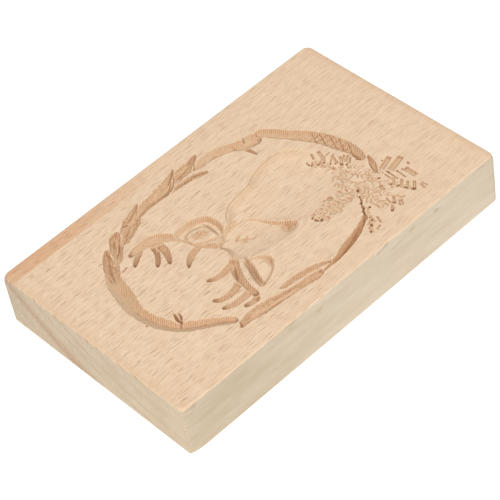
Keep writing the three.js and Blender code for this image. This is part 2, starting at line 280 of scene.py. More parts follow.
RIGHT_ANTLER = [
    # the beam, its brow tine, the three tines near its tip
    [(-3.2, 15.6, 1.6), (-1.4, 17, 2.6), (0.8, 18.6, 2.8), (3.4, 20.2, 2.6), (7, 21.4, 2.2),
     (10.6, 22.6, 2.8), (13.6, 24.6, 3.8), (16, 27.2, 4.6), (17.4, 30.4, 4.6), (17.9, 33.6, 3.8),
     (17.8, 36.4, 3), (17.3, 39.4, 1.2)],
    [(2.8, 20.2, 2.4), (2.5, 22.5, 2.8), (1.7, 25, 2.8), (0.3, 27.4, 2.2), (-1.9, 29.7, 0.8)],
    [(15.4, 30.6, 2.6), (12, 31.6, 2.1), (9.8, 33, 2), (8, 34.6, 1.9), (6.4, 36.2, 0.8)],
    [(14.6, 29, 3), (11, 29.1, 3), (8.4, 30, 2.4), (6.2, 31.2, 1.9), (4.2, 32.6, 0.8)],
    [(16.8, 34.4, 2), (15.2, 37.4, 2), (13.8, 39.4, 1.8), (12.4, 41.1, 0.8)],
]

# Spots among the fir, cut a little deeper and darkened with painted shade: (x, y, length, turn in degrees)
SHADED_SPOTS = [
    (-22.5, -43.8, 1.3, 20), (-24.5, -46.1, 0.8, -50), (-25.4, -47.8, 0.9, 75), (-27.2, -40.5, 1.4, 60),
    (-29.6, -41.3, 1.6, 80), (-32.1, -42.3, 1.7, 70), (-34.4, -43.6, 2, 75), (-33.7, -34.8, 1.4, 60),
    (-20.5, -31.2, 1.6, -65), (-23.1, -29.4, 1.1, 15), (-25.5, -27.6, 1.5, -80), (-27.4, -26.5, 1.3, 35),
    (-28.9, -25.1, 1.4, -20), (-31.6, -23.3, 1.5, 50), (-33.6, -24.3, 1.4, -40), (-29, -28, 1.1, 85),
    (-35, -22.5, 1.5, 20), (-37.1, -20.3, 1.5, -50), (-35.7, -32.2, 1.4, 75), (1.7, -29.9, 1, 20),
    (0.8, -30.4, 1.1, -40), (-0.7, -32.1, 1.2, 70), (-1.8, -33.7, 1.2, 10), (-4, -34.7, 1, -30),
    (-5.5, -35.8, 1.1, 50), (-7.3, -36.8, 1.8, 0), (-8.9, -37.9, 1.1, 80), (-22.1, -39.8, 1.3, 60),
    (-17.8, -12.3, 1.4, -65), (-19.5, -12.5, 2.1, 15), (-20.5, -13.8, 1.5, -80), (-19.5, -16.7, 1.1, 35),
    (-17.2, -46.5, 0.8, -20), (-35.8, -35.4, 1.1, 50), (-8.1, -42.4, 1.3, -40), (-10, -41.9, 1.5, 85),
]

# Each hollow is a closed list of (x, y, width of its sloped side there).

HEAD_OUTLINE = [
    (-10, 18, 8), (-8, 16.9, 5), (-5.5, 16.3, 3.2), (-3.4, 16.9, 2.4), (-1.4, 16.6, 1.6),
    (-0.4, 13.6, 1.2), (1.6, 11, 1.4), (2.5, 7.6, 1.6), (2.2, 4.4, 1.6), (1, 1.4, 1.2), (-2, -1.3, 1),
    (-6, -2.9, 1), (-8, -3.9, 1), (-10, -5.2, 1), (-12, -7, 1.2), (-14, -8.2, 2.4), (-15.8, -7.6, 5),
    (-17.4, -4.8, 9), (-17.5, -1.5, 10), (-17.1, 3, 13), (-16.3, 8, 13), (-15, 12.4, 12), (-13, 16, 10),
]

NECK_OUTLINE = [
    (-2, 6, 2), (1.6, 7.6, 2.4), (4.8, 6.2, 4), (7, 4, 4.4), (8.7, 1, 4.6), (9.7, -4, 4.8),
    (10.3, -9.4, 4.2), (12.3, -13.5, 4.2), (13.6, -18, 4.6), (14, -22.4, 4.8), (13.4, -28, 4.6),
    (10.5, -31.5, 5), (6, -34, 6), (0, -36, 8), (-6, -38, 9), (-12, -38, 10), (-16.4, -32, 14),
    (-17.4, -24, 15), (-17.4, -16, 15), (-16.4, -10, 14), (-10, -3, 6),
]

LEFT_EAR_OUTLINE = [
    (-26.2, 19.5, 0.6), (-23, 19.4, 0.6), (-20, 18.5, 0.6), (-17, 17.2, 0.6), (-14.4, 16.3, 1),
    (-13.2, 14.8, 4), (-14.4, 12.4, 4.5), (-16.5, 10.3, 3), (-18.5, 8.9, 1.5), (-20.5, 9.1, 1.5),
    (-22, 10.2, 2), (-23.6, 11.6, 2.4), (-24.8, 14, 2), (-25.7, 16.6, 1),
]
LEFT_EAR_LEAF = [
    (-25.2, 17.2, 0.3), (-23, 17, 0.3), (-20.4, 16.1, 0.3), (-17.8, 14.9, 0.35), (-15.4, 13.9, 0.6),
    (-16.4, 12, 1.4), (-18.4, 11.2, 1.6), (-20.6, 11.4, 1.6), (-22.6, 12.4, 1.6), (-24.2, 14.4, 1),
]

RIGHT_EAR_OUTLINE = [
    (4, 20.8, 1), (6, 21, 1), (8, 21.8, 1), (10, 22.8, 1.2), (12, 23.4, 1.4), (13.8, 21.8, 2),
    (14.1, 18, 2.4), (13.7, 14.6, 2.4), (12, 11, 1.6), (10.4, 9.5, 1.2), (8, 9, 1.1), (5.6, 8.9, 1.1),
    (3.4, 9.4, 1.1), (1.6, 10.4, 1.1), (0.2, 12, 1.2), (0.4, 14.6, 1.4), (2, 17.6, 1.2),
]
RIGHT_EAR_LEAF = [
    (2.2, 13.2, 0.9), (5, 12.7, 0.55), (7.6, 12.8, 0.5), (9.2, 13.8, 0.9), (9.9, 16.6, 1.8),
    (9.8, 19.6, 1.6), (8, 20.6, 1), (5.4, 19.8, 1), (3.4, 17.2, 0.8),
]

# Creases round the neck and the head
BODY_CREASES = [
    [(1.8, 7.6, 0.6), (4.8, 6.3, 0.8), (7.1, 4, 0.8), (8.8, 1, 0.8), (9.8, -4, 0.8), (10.3, -9.4, 0.6)],
    [(10.3, -9.4, 0.7), (12.2, -13.2, 0.8), (13.6, -18, 0.8), (14, -22.4, 0.8), (13.5, -27, 0.6)],
    [(-0.4, 15, 0.5), (-0.2, 12.6, 0.7), (1.6, 10.6, 0.7), (2.6, 7.6, 0.7), (2.3, 4.6, 0.5)],
]

# Small pits in the head and torn patches: (x, y, length along, length across, turn in degrees, depth)
HEAD_PITS = [
    (-3.4, 9.2, 4.2, 0.7, 112, 0.35), (-4.9, 8.3, 3.8, 0.7, 58, 0.35), (-5.6, 7.2, 4, 0.7, 108, 0.35),
    (-7, 6.4, 3.4, 0.7, 52, 0.35), (-6.4, 8.6, 3, 0.8, 20, 0.3), (6.9, 16.4, 7.2, 3.4, -115, 0.15),
    (-13.6, -5.6, 5.6, 4.2, 40, 0.45), (-11.8, -5.8, 3.4, 1.8, -30, 0.3),
]

# Fir needles that stand out: (x, y, x, y, width)
BOLD_NEEDLES = [
    (-31, -48.8, -25.6, -48.9, 2.3), (-28.8, -45.9, -24.2, -46.2, 0.7), (-27.5, -43.6, -21.6, -43.9, 0.8),
    (-26.4, -42.2, -22.4, -42.4, 0.6), (-22.4, -45, -20.8, -52, 2.6), (-19.6, -43.6, -17.8, -49.4, 2.2),
    (-25.6, -51, -24.2, -51.6, 1), (-35.4, -43.3, -32.3, -46.4, 1.2), (-33.4, -42.1, -30.6, -45, 1.1),
    (-31, -41.3, -28.4, -44.4, 1.1), (-28.4, -40.7, -25.6, -43.2, 1), (-37.4, -46.2, -34.8, -46.8, 1),
    (-37, -47.7, -34.6, -47.6, 0.7), (-36.8, -35.6, -34.6, -37, 1.5), (-34.4, -34.7, -31.6, -36.9, 1.1),
    (-33, -34, -30.3, -34.6, 0.7), (-36.4, -31.3, -34.4, -33.4, 1), (-27, -36.8, -24.8, -37.8, 1.6),
    (-37.2, -20.2, -35.2, -21.6, 0.9), (-35.9, -22.2, -33.6, -23, 1), (-38, -22.2, -37.4, -24.3, 0.8),
    (-35.2, -24.3, -32, -24.9, 1.2), (-36.8, -25.4, -33.9, -26.5, 0.8), (-29.1, -25.2, -28.6, -25.6, 0.9),
    (-27.7, -26.2, -27.1, -26.7, 0.9), (-25.7, -27.6, -25, -28.1, 0.9), (-29.5, -27.8, -28.8, -28.2, 1),
    (-23.6, -29, -23, -29.4, 0.8), (-21.2, -30.9, -20.2, -31.4, 1), (3, -30.2, 1.6, -29.9, 0.7),
    (4.2, -33.7, 2, -32.7, 0.8), (1.7, -31.4, 0.4, -30.6, 0.8), (3.2, -36, -0.5, -34.8, 1.4),
    (-0.2, -38.3, -0.7, -32.1, 0.6), (-0.5, -35.3, -2.1, -33.8, 0.7), (-1.9, -38.4, -3.8, -34.9, 0.7),
    (-2, -37.5, -6, -36.3, 1.1), (-4.4, -39, -7.4, -37.1, 1.1), (-5, -40.5, -6.9, -38.1, 0.8),
    (-6.2, -41.3, -7.8, -38.2, 1), (-7.5, -41, -9.4, -38.6, 0.8), (-5.7, -34.1, -7, -33.8, 0.9),
]

# Fir sprigs with rows of needles: (x, y, x, y, needle length)
SPRIGS = [
    (-28, -27.4, -37, -20.6, 2.2), (-19, -29, -34, -33.4, 2.8), (-18, -32, -34, -38, 3),
    (-19, -36, -32, -43, 2.8), (-17, -38, -22, -46, 2.6), (-10, -35, 0, -31.6, 2.2),
    (-9, -31, -22, -34.4, 2.4), (-8, -34, -20, -38.4, 2.4), (-9, -37.6, -19, -41.6, 2),
    (-12, -29, -24, -31, 2), (-23.3, -32.2, -31.6, -32.3, 1.9), (-26.4, -30, -32.1, -30.4, 1.7),
    (-9.9, -33.5, -15.8, -32.2, 2),
]

CONE_CENTRE = (-18.8, -20.4)
CONE_SIZE = (8.2, 17.4)


def linear(code):
    """Scene-linear colour of a six-digit screen colour."""
    channels = [int(code[place : place + 2], 16) / 255 for place in (0, 2, 4)]
    return tuple(c / 12.92 if c <= 0.04045 else ((c + 0.055) / 1.055) ** 2.4 for c in channels)


def number_property(name, description, default, **limits):
    return FloatProperty(name=name, description=description, default=default, **limits)


def length_property(name, description, millimetres):
    return number_property(name, description, millimetres * MM, min=0, unit="LENGTH", precision=4)


def angle_property(name, description, degrees):
    return number_property(name, description, math.radians(degrees), unit="ROTATION")


def vector_property(name, description, default, **kind):
    return FloatVectorProperty(
        name=name, description=description, default=default, size=len(default), **kind
    )


def colour_property(name, description, code):
    return vector_property(name, description, linear(code), min=0, max=1, subtype="COLOR")


class BoardSettings(bpy.types.PropertyGroup):
    crown_radius: length_property("Crown radius", "Radius of the four corners at the face", 3)
    crown_height: length_property("Crown height", "How far below the face the corners begin to widen", 3)
    arris_radius: length_property("Arris radius", "Radius sanded on the edges of the face", 0.9)
    foot_radius: length_property("Foot radius", "Radius sanded on the edges of the underside", 0.6)
    face_cell: length_property("Finest cell", "Finest spacing of the carved surface", 0.18)
    face_tolerance: length_property("Tolerance", "Largest error of the carved surface's facets", 0.035)


class CarvingSettings(bpy.types.PropertyGroup):
    wreath_depth: length_property("Wreath", "Depth of the wreath below the face", 1.9)
    steep_depth: length_property("Steep twigs", "Depth of the steep-sided twigs below the face", 1.9)
    thorn_depth: length_property("Thorns", "Depth of the thorns below the face", 1.1)
    antler_depth: length_property("Antlers", "Depth of the antlers below the face", 1.7)
    tine_ramp: length_property("Tine ramp", "Length over which a tine runs out at its tip", 3.2)
    lean: vector_property("Lean", "Shift of the bottom of a twig for each unit of depth", (0.3, -0.22))
    undercut: vector_property("Undercut", "The same for the tines and the steep twigs", (-0.22, 0.14))
    head_depth: length_property("Head", "Depth of the head below the face", 1.9)
    neck_depth: length_property("Neck", "Depth of the neck below the face", 1.4)
    ear_depth: length_property("Ears", "Depth of the rim of the ears", 1.7)
    leaf_depth: length_property("Ear leaf", "Depth of the leaf inside the rim of an ear", 0.8)
    needle_depth: length_property("Needles", "Depth of the rows of fir needles", 0.31)
    bold_needle_depth: length_property("Bold needles", "Depth of the needles that stand out", 0.6)
    needle_width: length_property("Needle width", "Width of a fir needle", 0.7)
    needle_pitch: length_property("Needle pitch", "Distance between needles along a stem", 1.25)
    cone_depth: length_property("Cone", "Depth of the scales of the cone", 0.33)
    scale_pitch: length_property("Scale pitch", "Distance between rows of scales", 1.8)
    pass_pitch: length_property("Pass pitch", "Distance between two passes of the cutter", 0.72)
    pass_angle: angle_property("Pass angle", "Direction of the passes from +X", -43)
    tear_angle: angle_property("Tear angle", "Direction in which the cutter tears", -68)
    crack_depth: length_property("Cracks", "Depth of the cracks in the bark below the twig", 0.4)
    crease_depth: length_property("Creases", "Depth of the creases round the neck and the head", 0.25)
    ridge: length_property("Ridge", "Height of the ridges between passes on a steep cut", 0.19)
    seed: IntProperty(name="Seed", description="Seed of the small unevenness of the needles", default=7)


class BeechSettings(bpy.types.PropertyGroup):
    face: colour_property("Face", "Sanded long grain", "E2C3A2")
    rim: colour_property("Rim", "Face close to the end, where the sander browned it", "D2AD88")
    pale: colour_property("Pale", "Pale streaks in the long grain", "EBD1B3")
    fleck: colour_property("Flecks", "Ray flecks", "8C603A")
    fleck_weight: number_property("Fleck weight", "Strength of the flecks", 0.92, min=0, max=1)
    heart: colour_property("Heart strip", "Pinkish heartwood strip along one edge", "D4A179")
    cut: colour_property("Cut wood", "Steep cuts", "CFAF8D")
    # The cut-across tint is partly end grain and partly painted warm bounce light on walls that face the
    # lamp
    deep: colour_property("Cut across", "Steep cuts across the grain", "BC8553")
    # Colour of the painted shade in creases, between ribs, at tips and in the cracks, lines and spots
    painted_shade_colour: colour_property("Creases", "Bottom of the creases, darkened by the cutter", "8E5C34")
    fuzz_height: number_property("Fuzz", "Relief of the fuzz on cut wood", 0.9, min=0)
    side: colour_property("Side", "Long grain on the narrow sides", "B8A68A")
    side_pale: colour_property("Side, pale", "Pale patches on the narrow sides", "D0C0AA")
    end: colour_property("End grain", "End grain", "D0BDA2")
    ray: colour_property("Rays", "Fine pale rays in the end grain", "FFF7E7")
    ray_weight: number_property("Ray weight", "Strength of the rays", 0.14, min=0, max=1)
    ring: colour_property("Ring lines", "Late wood of a ring", "86603C")
    rim_weight: number_property("Rim weight", "Strength of the browned rim", 0.35, min=0, max=1)
    corner_weight: number_property("Corner weight", "Darkness of the upright edges", 0.14, min=0, max=1)
    # Painted shade between the torn ribs and a painted highlight on their crests
    between_ribs_shade_weight: number_property("Between ribs", "Darkness between torn ribs", 0.24, min=0, max=1)
    rib_highlight_weight: number_property("Ribs", "Paleness of torn ribs", 0.7, min=0, max=1)
    # Paleness of the painted highlight on sharp ridges of a cut
    ridge_highlight_weight: number_property("Crests", "Paleness of sharp ridges in a cut", 0.65, min=0, max=1)
    # Darkness of the painted shade in sharp creases of a cut
    crease_shade_weight: number_property("Hollows", "Darkness of sharp creases in a cut", 0.5, min=0, max=1)


class StageSettings(bpy.types.PropertyGroup):
    camera_place: vector_property(
        "Camera", "Place of the camera", (-0.396857, 0.292536, 0.524639), subtype="TRANSLATION"
    )
    camera_right: vector_property(
        "Camera's right", "Direction of the right of the picture", (-0.689026, -0.713255, -0.128491)
    )
    camera_up: vector_property(
        "Camera's up", "Direction of the top of the picture", (0.465243, -0.571251, 0.676181)
    )
    lens: number_property("Lens", "Focal length on a 36 mm sensor", 151.28, unit="CAMERA")
    floor: colour_property("Floor", "Colour of the floor", "FBFBFA")
    floor_reach: length_property("Floor reach", "How far the floor goes from the board", 3000)
    floor_glow: number_property("Floor glow", "Light given off by the floor", 0.2, min=0)
    sky: number_property("Sky", "Strength of the even light from all round", 0.5, min=0)
    sky_colour: colour_property("Sky colour", "Colour of the even light", "FFFFFF")
    lamp: number_property("Lamp", "Power of the large soft lamp", 47, unit="POWER", min=0)
    lamp_colour: colour_property("Lamp colour", "Colour of the large soft lamp", "FFFFFF")
    lamp_size: number_property("Lamp size", "Width of the soft lamp", 1.1, unit="LENGTH")
    lamp_place: vector_property(
        "Lamp place", "Place of the soft lamp", (-1.19, 0.835, 2.155), subtype="TRANSLATION"
    )


def settings(group):
    return getattr(bpy.context.scene, "cookie_mould_" + group)


class Tree:
    """Adds nodes to a tree and links them by the names of their sockets."""

    SPACING = 180

    def __init__(self, tree):
        self.data, self.nodes, self.links = tree, tree.nodes, tree.links

    @staticmethod
    def socket_kind(value):
        """The kind of socket that takes this value."""
        if isinstance(value, tuple):
            return "Vector" if len(value) == 3 else "Color"
        return "Int" if isinstance(value, int) else "Float"

    @classmethod
    def group(cls, name, kind, inputs, outputs):
        """A new node group; each input is named with its default or its kind, each output with its kind."""
        data = bpy.data.node_groups.new(name, kind)
        if kind == GEOMETRY_TREE:
            inputs = {**inputs, "Material": "Material"}
        for label, default in inputs.items():
            bare = isinstance(default, str)
            socket_type = "NodeSocket" + (default if bare else cls.socket_kind(default))
            socket = data.interface.new_socket(label, in_out="INPUT", socket_type=socket_type)
            if not bare:
                socket.default_value = default
        for label, socket_kind in outputs.items():
            data.interface.new_socket(label, in_out="OUTPUT", socket_type="NodeSocket" + socket_kind)
        tree = cls(data)
        tree.given = tree.add("NodeGroupInput").outputs
        return tree

    def add(self, kind, sockets=None, **choices):
        """A node with its choices set and its inputs linked or given a value, by name or by number."""
        node = self.nodes.new(kind)
        node.location.x = self.SPACING * len(self.nodes)
        for key, value in choices.items():
            setattr(node, key, value)
        for key, value in (sockets or {}).items():
            self.feed(node.inputs[key], value)
        return node

    def out(self, kind, sockets=None, **choices):
        """The first output of a new node."""
        return self.add(kind, sockets, **choices).outputs[0]

    def feed(self, socket, value):
        """Links an input to a socket or gives it a value; a colour may come without its alpha."""
        if isinstance(value, bpy.types.NodeSocket):
            self.links.new(value, socket)
        elif socket.type == "RGBA" and len(value) == 3:
            socket.default_value = (*value, 1)
        else:
            socket.default_value = value

    def use(self, group, sockets):
        """The outputs of a new node that holds this group, with its inputs fed."""
        return self.add("ShaderNodeGroup", sockets, node_tree=group).outputs

    def made_real(self, geometry):
        """The geometry with its instances made real, in the tree's material."""
        real = self.out("GeometryNodeRealizeInstances", {"Geometry": geometry})
        return self.out("GeometryNodeSetMaterial", {"Geometry": real, "Material": self.given["Material"]})

    def finish(self, **results):
        """Links the group's outputs, whose names are the keys."""
        end = self.add("NodeGroupOutput")
        for key, value in results.items():
            self.feed(end.inputs[key], value)
        return self.data

    def math(self, operation, *values, clamp=False):
        node = self.add("ShaderNodeMath", dict(enumerate(values)), operation=operation, use_clamp=clamp)
        return node.outputs[0]

    def times(self, first, *others):
        for value in others:
            first = self.math("MULTIPLY", first, value)
        return first

    def plus(self, first, *others, clamp=False):
        for value in others:
            first = self.math("ADD", first, value, clamp=clamp)
        return first

    def minus(self, first, second, clamp=False):
        return self.math("SUBTRACT", first, second, clamp=clamp)

    def over(self, first, second, clamp=False):
        return self.math("DIVIDE", first, second, clamp=clamp)

    def vector(self, operation, *values):
        node = self.add("ShaderNodeVectorMath", dict(enumerate(values)), operation=operation)
        return node.outputs["Value" if operation == "LENGTH" else "Vector"]

    def scaled(self, vector, factor):
        return self.out("ShaderNodeVectorMath", {"Vector": vector, "Scale": factor}, operation="SCALE")

    def split(self, vector):
        return tuple(self.add("ShaderNodeSeparateXYZ", {"Vector": vector}).outputs)

    def joined(self, x, y, z):
        return self.out("ShaderNodeCombineXYZ", {"X": x, "Y": y, "Z": z})

    def ramp(self, value, low, high, to_low=0.0, to_high=1.0):
        """Value eased smoothly from to_low at low to to_high at high."""
        sockets = {"Value": value, "From Min": low, "From Max": high, "To Min": to_low, "To Max": to_high}
        return self.add("ShaderNodeMapRange", sockets, interpolation_type="SMOOTHSTEP").outputs["Result"]

    def between(self, share, low, high=1.0):
        """Low where share is 0, high where it is 1, and evenly in between."""
        sockets = {"Value": share, "To Min": low, "To Max": high}
        return self.add("ShaderNodeMapRange", sockets).outputs["Result"]

    def noise(self, place, stretch=1.0, detail=2.0, roughness=0.5):
        """Noise over places that are first multiplied by stretch, one number or one for each axis."""
        if isinstance(stretch, tuple):
            place = self.vector("MULTIPLY", place, stretch)
        elif stretch != 1:
            place = self.scaled(place, stretch)
        sockets = {"Vector": place, "Scale": 1.0, "Detail": detail, "Roughness": roughness}
        return self.add("ShaderNodeTexNoise", sockets).outputs["Fac"]

    def layered(self, colour, *layers):
        """The colour with each (mask, colour) layer laid over it in turn."""
        for mask, tint in layers:
            node = self.add("ShaderNodeMix", data_type="RGBA")
            for key, value in (("Factor", mask), (6, colour), (7, tint)):
                self.feed(node.inputs[key], value)
            colour = node.outputs[2]
        return colour

    def position(self):
        return self.out("GeometryNodeInputPosition")

    def kept(self, name, data_type="FLOAT"):
        """The value kept on the points under a name."""
        return self.out("GeometryNodeInputNamedAttribute", {"Name": name}, data_type=data_type)

    def stored(self, geometry, name, value, data_type="FLOAT"):
        """The geometry with this value kept on its points under a name."""
        sockets = {"Geometry": geometry, "Name": name, "Value": value}
        return self.out("GeometryNodeStoreNamedAttribute", sockets, data_type=data_type, domain="POINT")

    def moved(self, geometry, position, selection=True):
        """The geometry with its selected points moved to these positions."""
        sockets = {"Geometry": geometry, "Selection": selection, "Position": position}
        return self.out("GeometryNodeSetPosition", sockets)

    def transformed(self, geometry, translation=(0, 0, 0), rotation=(0, 0, 0)):
        sockets = {"Geometry": geometry, "Translation": translation, "Rotation": rotation}
        return self.out("GeometryNodeTransform", sockets)

    def stations(self, paths, distance):
        """Curves along the paths with a point at each step of this distance."""
        return self.out("GeometryNodeResampleCurve", {"Curve": paths, "Length": distance}, mode="LENGTH")

    def on_points(self, points, instance, rotation, scale):
        sockets = {"Points": points, "Instance": instance, "Rotation": rotation, "Scale": scale}
        return self.out("GeometryNodeInstanceOnPoints", sockets)

    def turned_along(self, direction):
        """The rotation that lays the X axis along a level direction."""
        sockets = {"Primary Axis": (0, 0, 1), "Secondary Axis": direction}
        return self.out("FunctionNodeAxesToRotation", sockets, primary_axis="Z", secondary_axis="X")

    def random(self, low, high, seed=0):
        sockets = {"Min": low, "Max": high, "Seed": seed}
        return self.add("FunctionNodeRandomValue", sockets, data_type="FLOAT").outputs["Value"]


def smooth_points(points, steps_per_span):
    """Points on a smooth closed curve through the given ones, which may carry more values than x and y."""
    given = np.array(points, float)
    t = (np.arange(steps_per_span) / steps_per_span)[:, None]
    pieces = []
    for place in range(len(given)):
        before, start, end, after = (given[(place + step) % len(given)] for step in (-1, 0, 1, 2))
        slope = end - before
        square_part = 2 * before - 5 * start + 4 * end - after
        cube_part = 3 * start - before - 3 * end + after
        pieces.append(0.5 * (2 * start + slope * t + square_part * t**2 + cube_part * t**3))
    return np.concatenate(pieces)


def off_line(x, y, start, end):
    """Distance of each place from the line between two (x, y, width) points, and the line's width there."""
    (ax, ay, a_width), (bx, by, b_width) = start, end
    dx, dy = bx - ax, by - ay
    along = np.clip(((x - ax) * dx + (y - ay) * dy) / (dx * dx + dy * dy), 0, 1)
    return np.hypot(x - ax - along * dx, y - ay - along * dy), a_width + (b_width - a_width) * along


def sloped_share(x, y, outline, steps_per_span=6):
    """How far down its sloped side each place in a hollow lies: 0 at the rim, 1 at the foot.

    The share is negative outside the outline, and goes on growing past the foot.
    """
    loop = smooth_points(outline, steps_per_span)
    nearest = np.full(x.shape, np.inf)
    inside = np.zeros(x.shape, bool)
    for start, end in zip(loop, np.roll(loop, -1, axis=0)):
        distance, width = off_line(x, y, start, end)
        nearest = np.minimum(nearest, distance / width)
        (ax, ay), (bx, by) = start[:2], end[:2]
        if by != ay:
            inside ^= ((ay > y) != (by > y)) & (x < ax + (y - ay) * (bx - ax) / (by - ay))
    return np.where(inside, nearest, -nearest)


def line_share(x, y, paths):
    """1 on the line of a path and 0 from half its width away."""
    share = np.zeros(x.shape)
    for path in paths:
        for start, end in zip(path, path[1:]):
            distance, width = off_line(x, y, start, end)
            share = np.maximum(share, 1 - distance / (width / 2))
    return share


def bowl(share, power):
    """0 at the rim of a hollow and 1 from the foot of its side, levelling off on the way down."""
    return 1 - (1 - np.clip(share, 0, 1)) ** power


def pit(x, y, centre_x, centre_y, length, width, turn):
    """1 at the centre of an oval and 0 from its edge."""
    cos, sin = math.cos(math.radians(turn)), math.sin(math.radians(turn))
    along = ((x - centre_x) * cos + (y - centre_y) * sin) / (length / 2)
    across = ((y - centre_y) * cos - (x - centre_x) * sin) / (width / 2)
    return np.sqrt(np.clip(1 - along**2 - across**2, 0, 1))


def share_of(value, limits):
    """0 up to the lower limit, 1 from the upper one, and evenly in between."""
    low, high = limits
    return np.clip((value - low) / (high - low), 0, 1)


def softened(height, reach):
    """The heights with each one averaged twice over a square that reaches this many cells from it."""
    for _ in range(2):
        for axis in (0, 1):
            padded = np.pad(height, [(reach, reach) if each == axis else (0, 0) for each in (0, 1)], "edge")
            size = height.shape[axis]
            height = sum(np.take(padded, range(step, step + size), axis) for step in range(2 * reach + 1))
            height = height / (2 * reach + 1)
    return height


def ear_depth(x, y, outline, leaf, carving):
    """Depth of an ear: a deep rim round a shallower leaf with sloped edges."""
    rim = carving.ear_depth / MM * bowl(sloped_share(x, y, outline), 2)
    ground = carving.leaf_depth / MM + np.maximum(-sloped_share(x, y, leaf), 0)
    return np.minimum(rim, ground)


def body_depth(x, y):
    """Depth in millimetres of the head, the neck and the ears at these places on the face."""
    carving = settings("carving")
    neck = carving.neck_depth / MM * bowl(sloped_share(x, y, NECK_OUTLINE), 1.5)
    head = carving.head_depth / MM * bowl(sloped_share(x, y, HEAD_OUTLINE), 2)
    for *oval, depth in HEAD_PITS:
        head += depth * pit(x, y, *oval)
    left_ear = ear_depth(x, y, LEFT_EAR_OUTLINE, LEFT_EAR_LEAF, carving)
    right_ear = ear_depth(x, y, RIGHT_EAR_OUTLINE, RIGHT_EAR_LEAF, carving)
    return softened(np.maximum.reduce([neck, head, left_ear, right_ear]), 2)


def keep_values(mesh, name, values, data_type="FLOAT"):
    """Keeps a value for each point of a mesh under a name."""
    key = "vector" if data_type == "FLOAT_VECTOR" else "value"
    mesh.attributes.new(name, data_type, "POINT").data.foreach_set(key, np.ravel(values))


def read_vectors(items, key):
    """The vectors that the items hold under this key, one in each row."""
    values = np.zeros(len(items) * 3, np.float32)
    items.foreach_get(key, values)
    return values.reshape(-1, 3)


def path_mesh(name, paths):
    """A mesh of edges along (x, y, width) paths, with half the width kept on each point."""
    vertices, edges, half_widths, widest = [], [], [], []
    for path in paths:
        first = len(vertices)
        vertices += [(x * MM, y * MM, 0) for x, y, _ in path]
        edges += [(first + place, first + place + 1) for place in range(len(path) - 1)]
        half_widths += [width / 2 * MM for _, _, width in path]
        widest += [max(width for _, _, width in path) / 2 * MM] * len(path)
    mesh = bpy.data.meshes.new(name)
    mesh.from_pydata(vertices, edges, [])
    keep_values(mesh, "half_width", half_widths)
    keep_values(mesh, "widest", widest)
    return mesh


def cutters_collection():
    found = bpy.data.collections.get(CUTTERS)
    if found is None:
        found = bpy.data.collections.new(CUTTERS)
        bpy.context.scene.collection.children.link(found)
    return found


def made_by_tree(obj, tree, inputs):
    """Runs a geometry tree on an object with these inputs and returns the plain mesh that it gives."""
    modifier = obj.modifiers.new(tree.name, "NODES")
    modifier.node_group = tree
    for item in tree.interface.items_tree:
        if item.item_type == "SOCKET" and item.in_out == "INPUT" and item.name in inputs:
            modifier[item.identifier] = inputs[item.name]
    evaluated = obj.evaluated_get(bpy.context.evaluated_depsgraph_get())
    mesh = bpy.data.meshes.new_from_object(evaluated)
    obj.modifiers.remove(modifier)
    return mesh


def add_cutter(mesh, tree, inputs):
    """Turns a mesh of paths or points into a solid cutter, kept until the board has been cut."""
    obj = bpy.data.objects.new(mesh.name, mesh)
    cutters_collection().objects.link(obj)
    obj.data = made_by_tree(obj, tree, {**inputs, "Material": wood_materials()[CUT]})


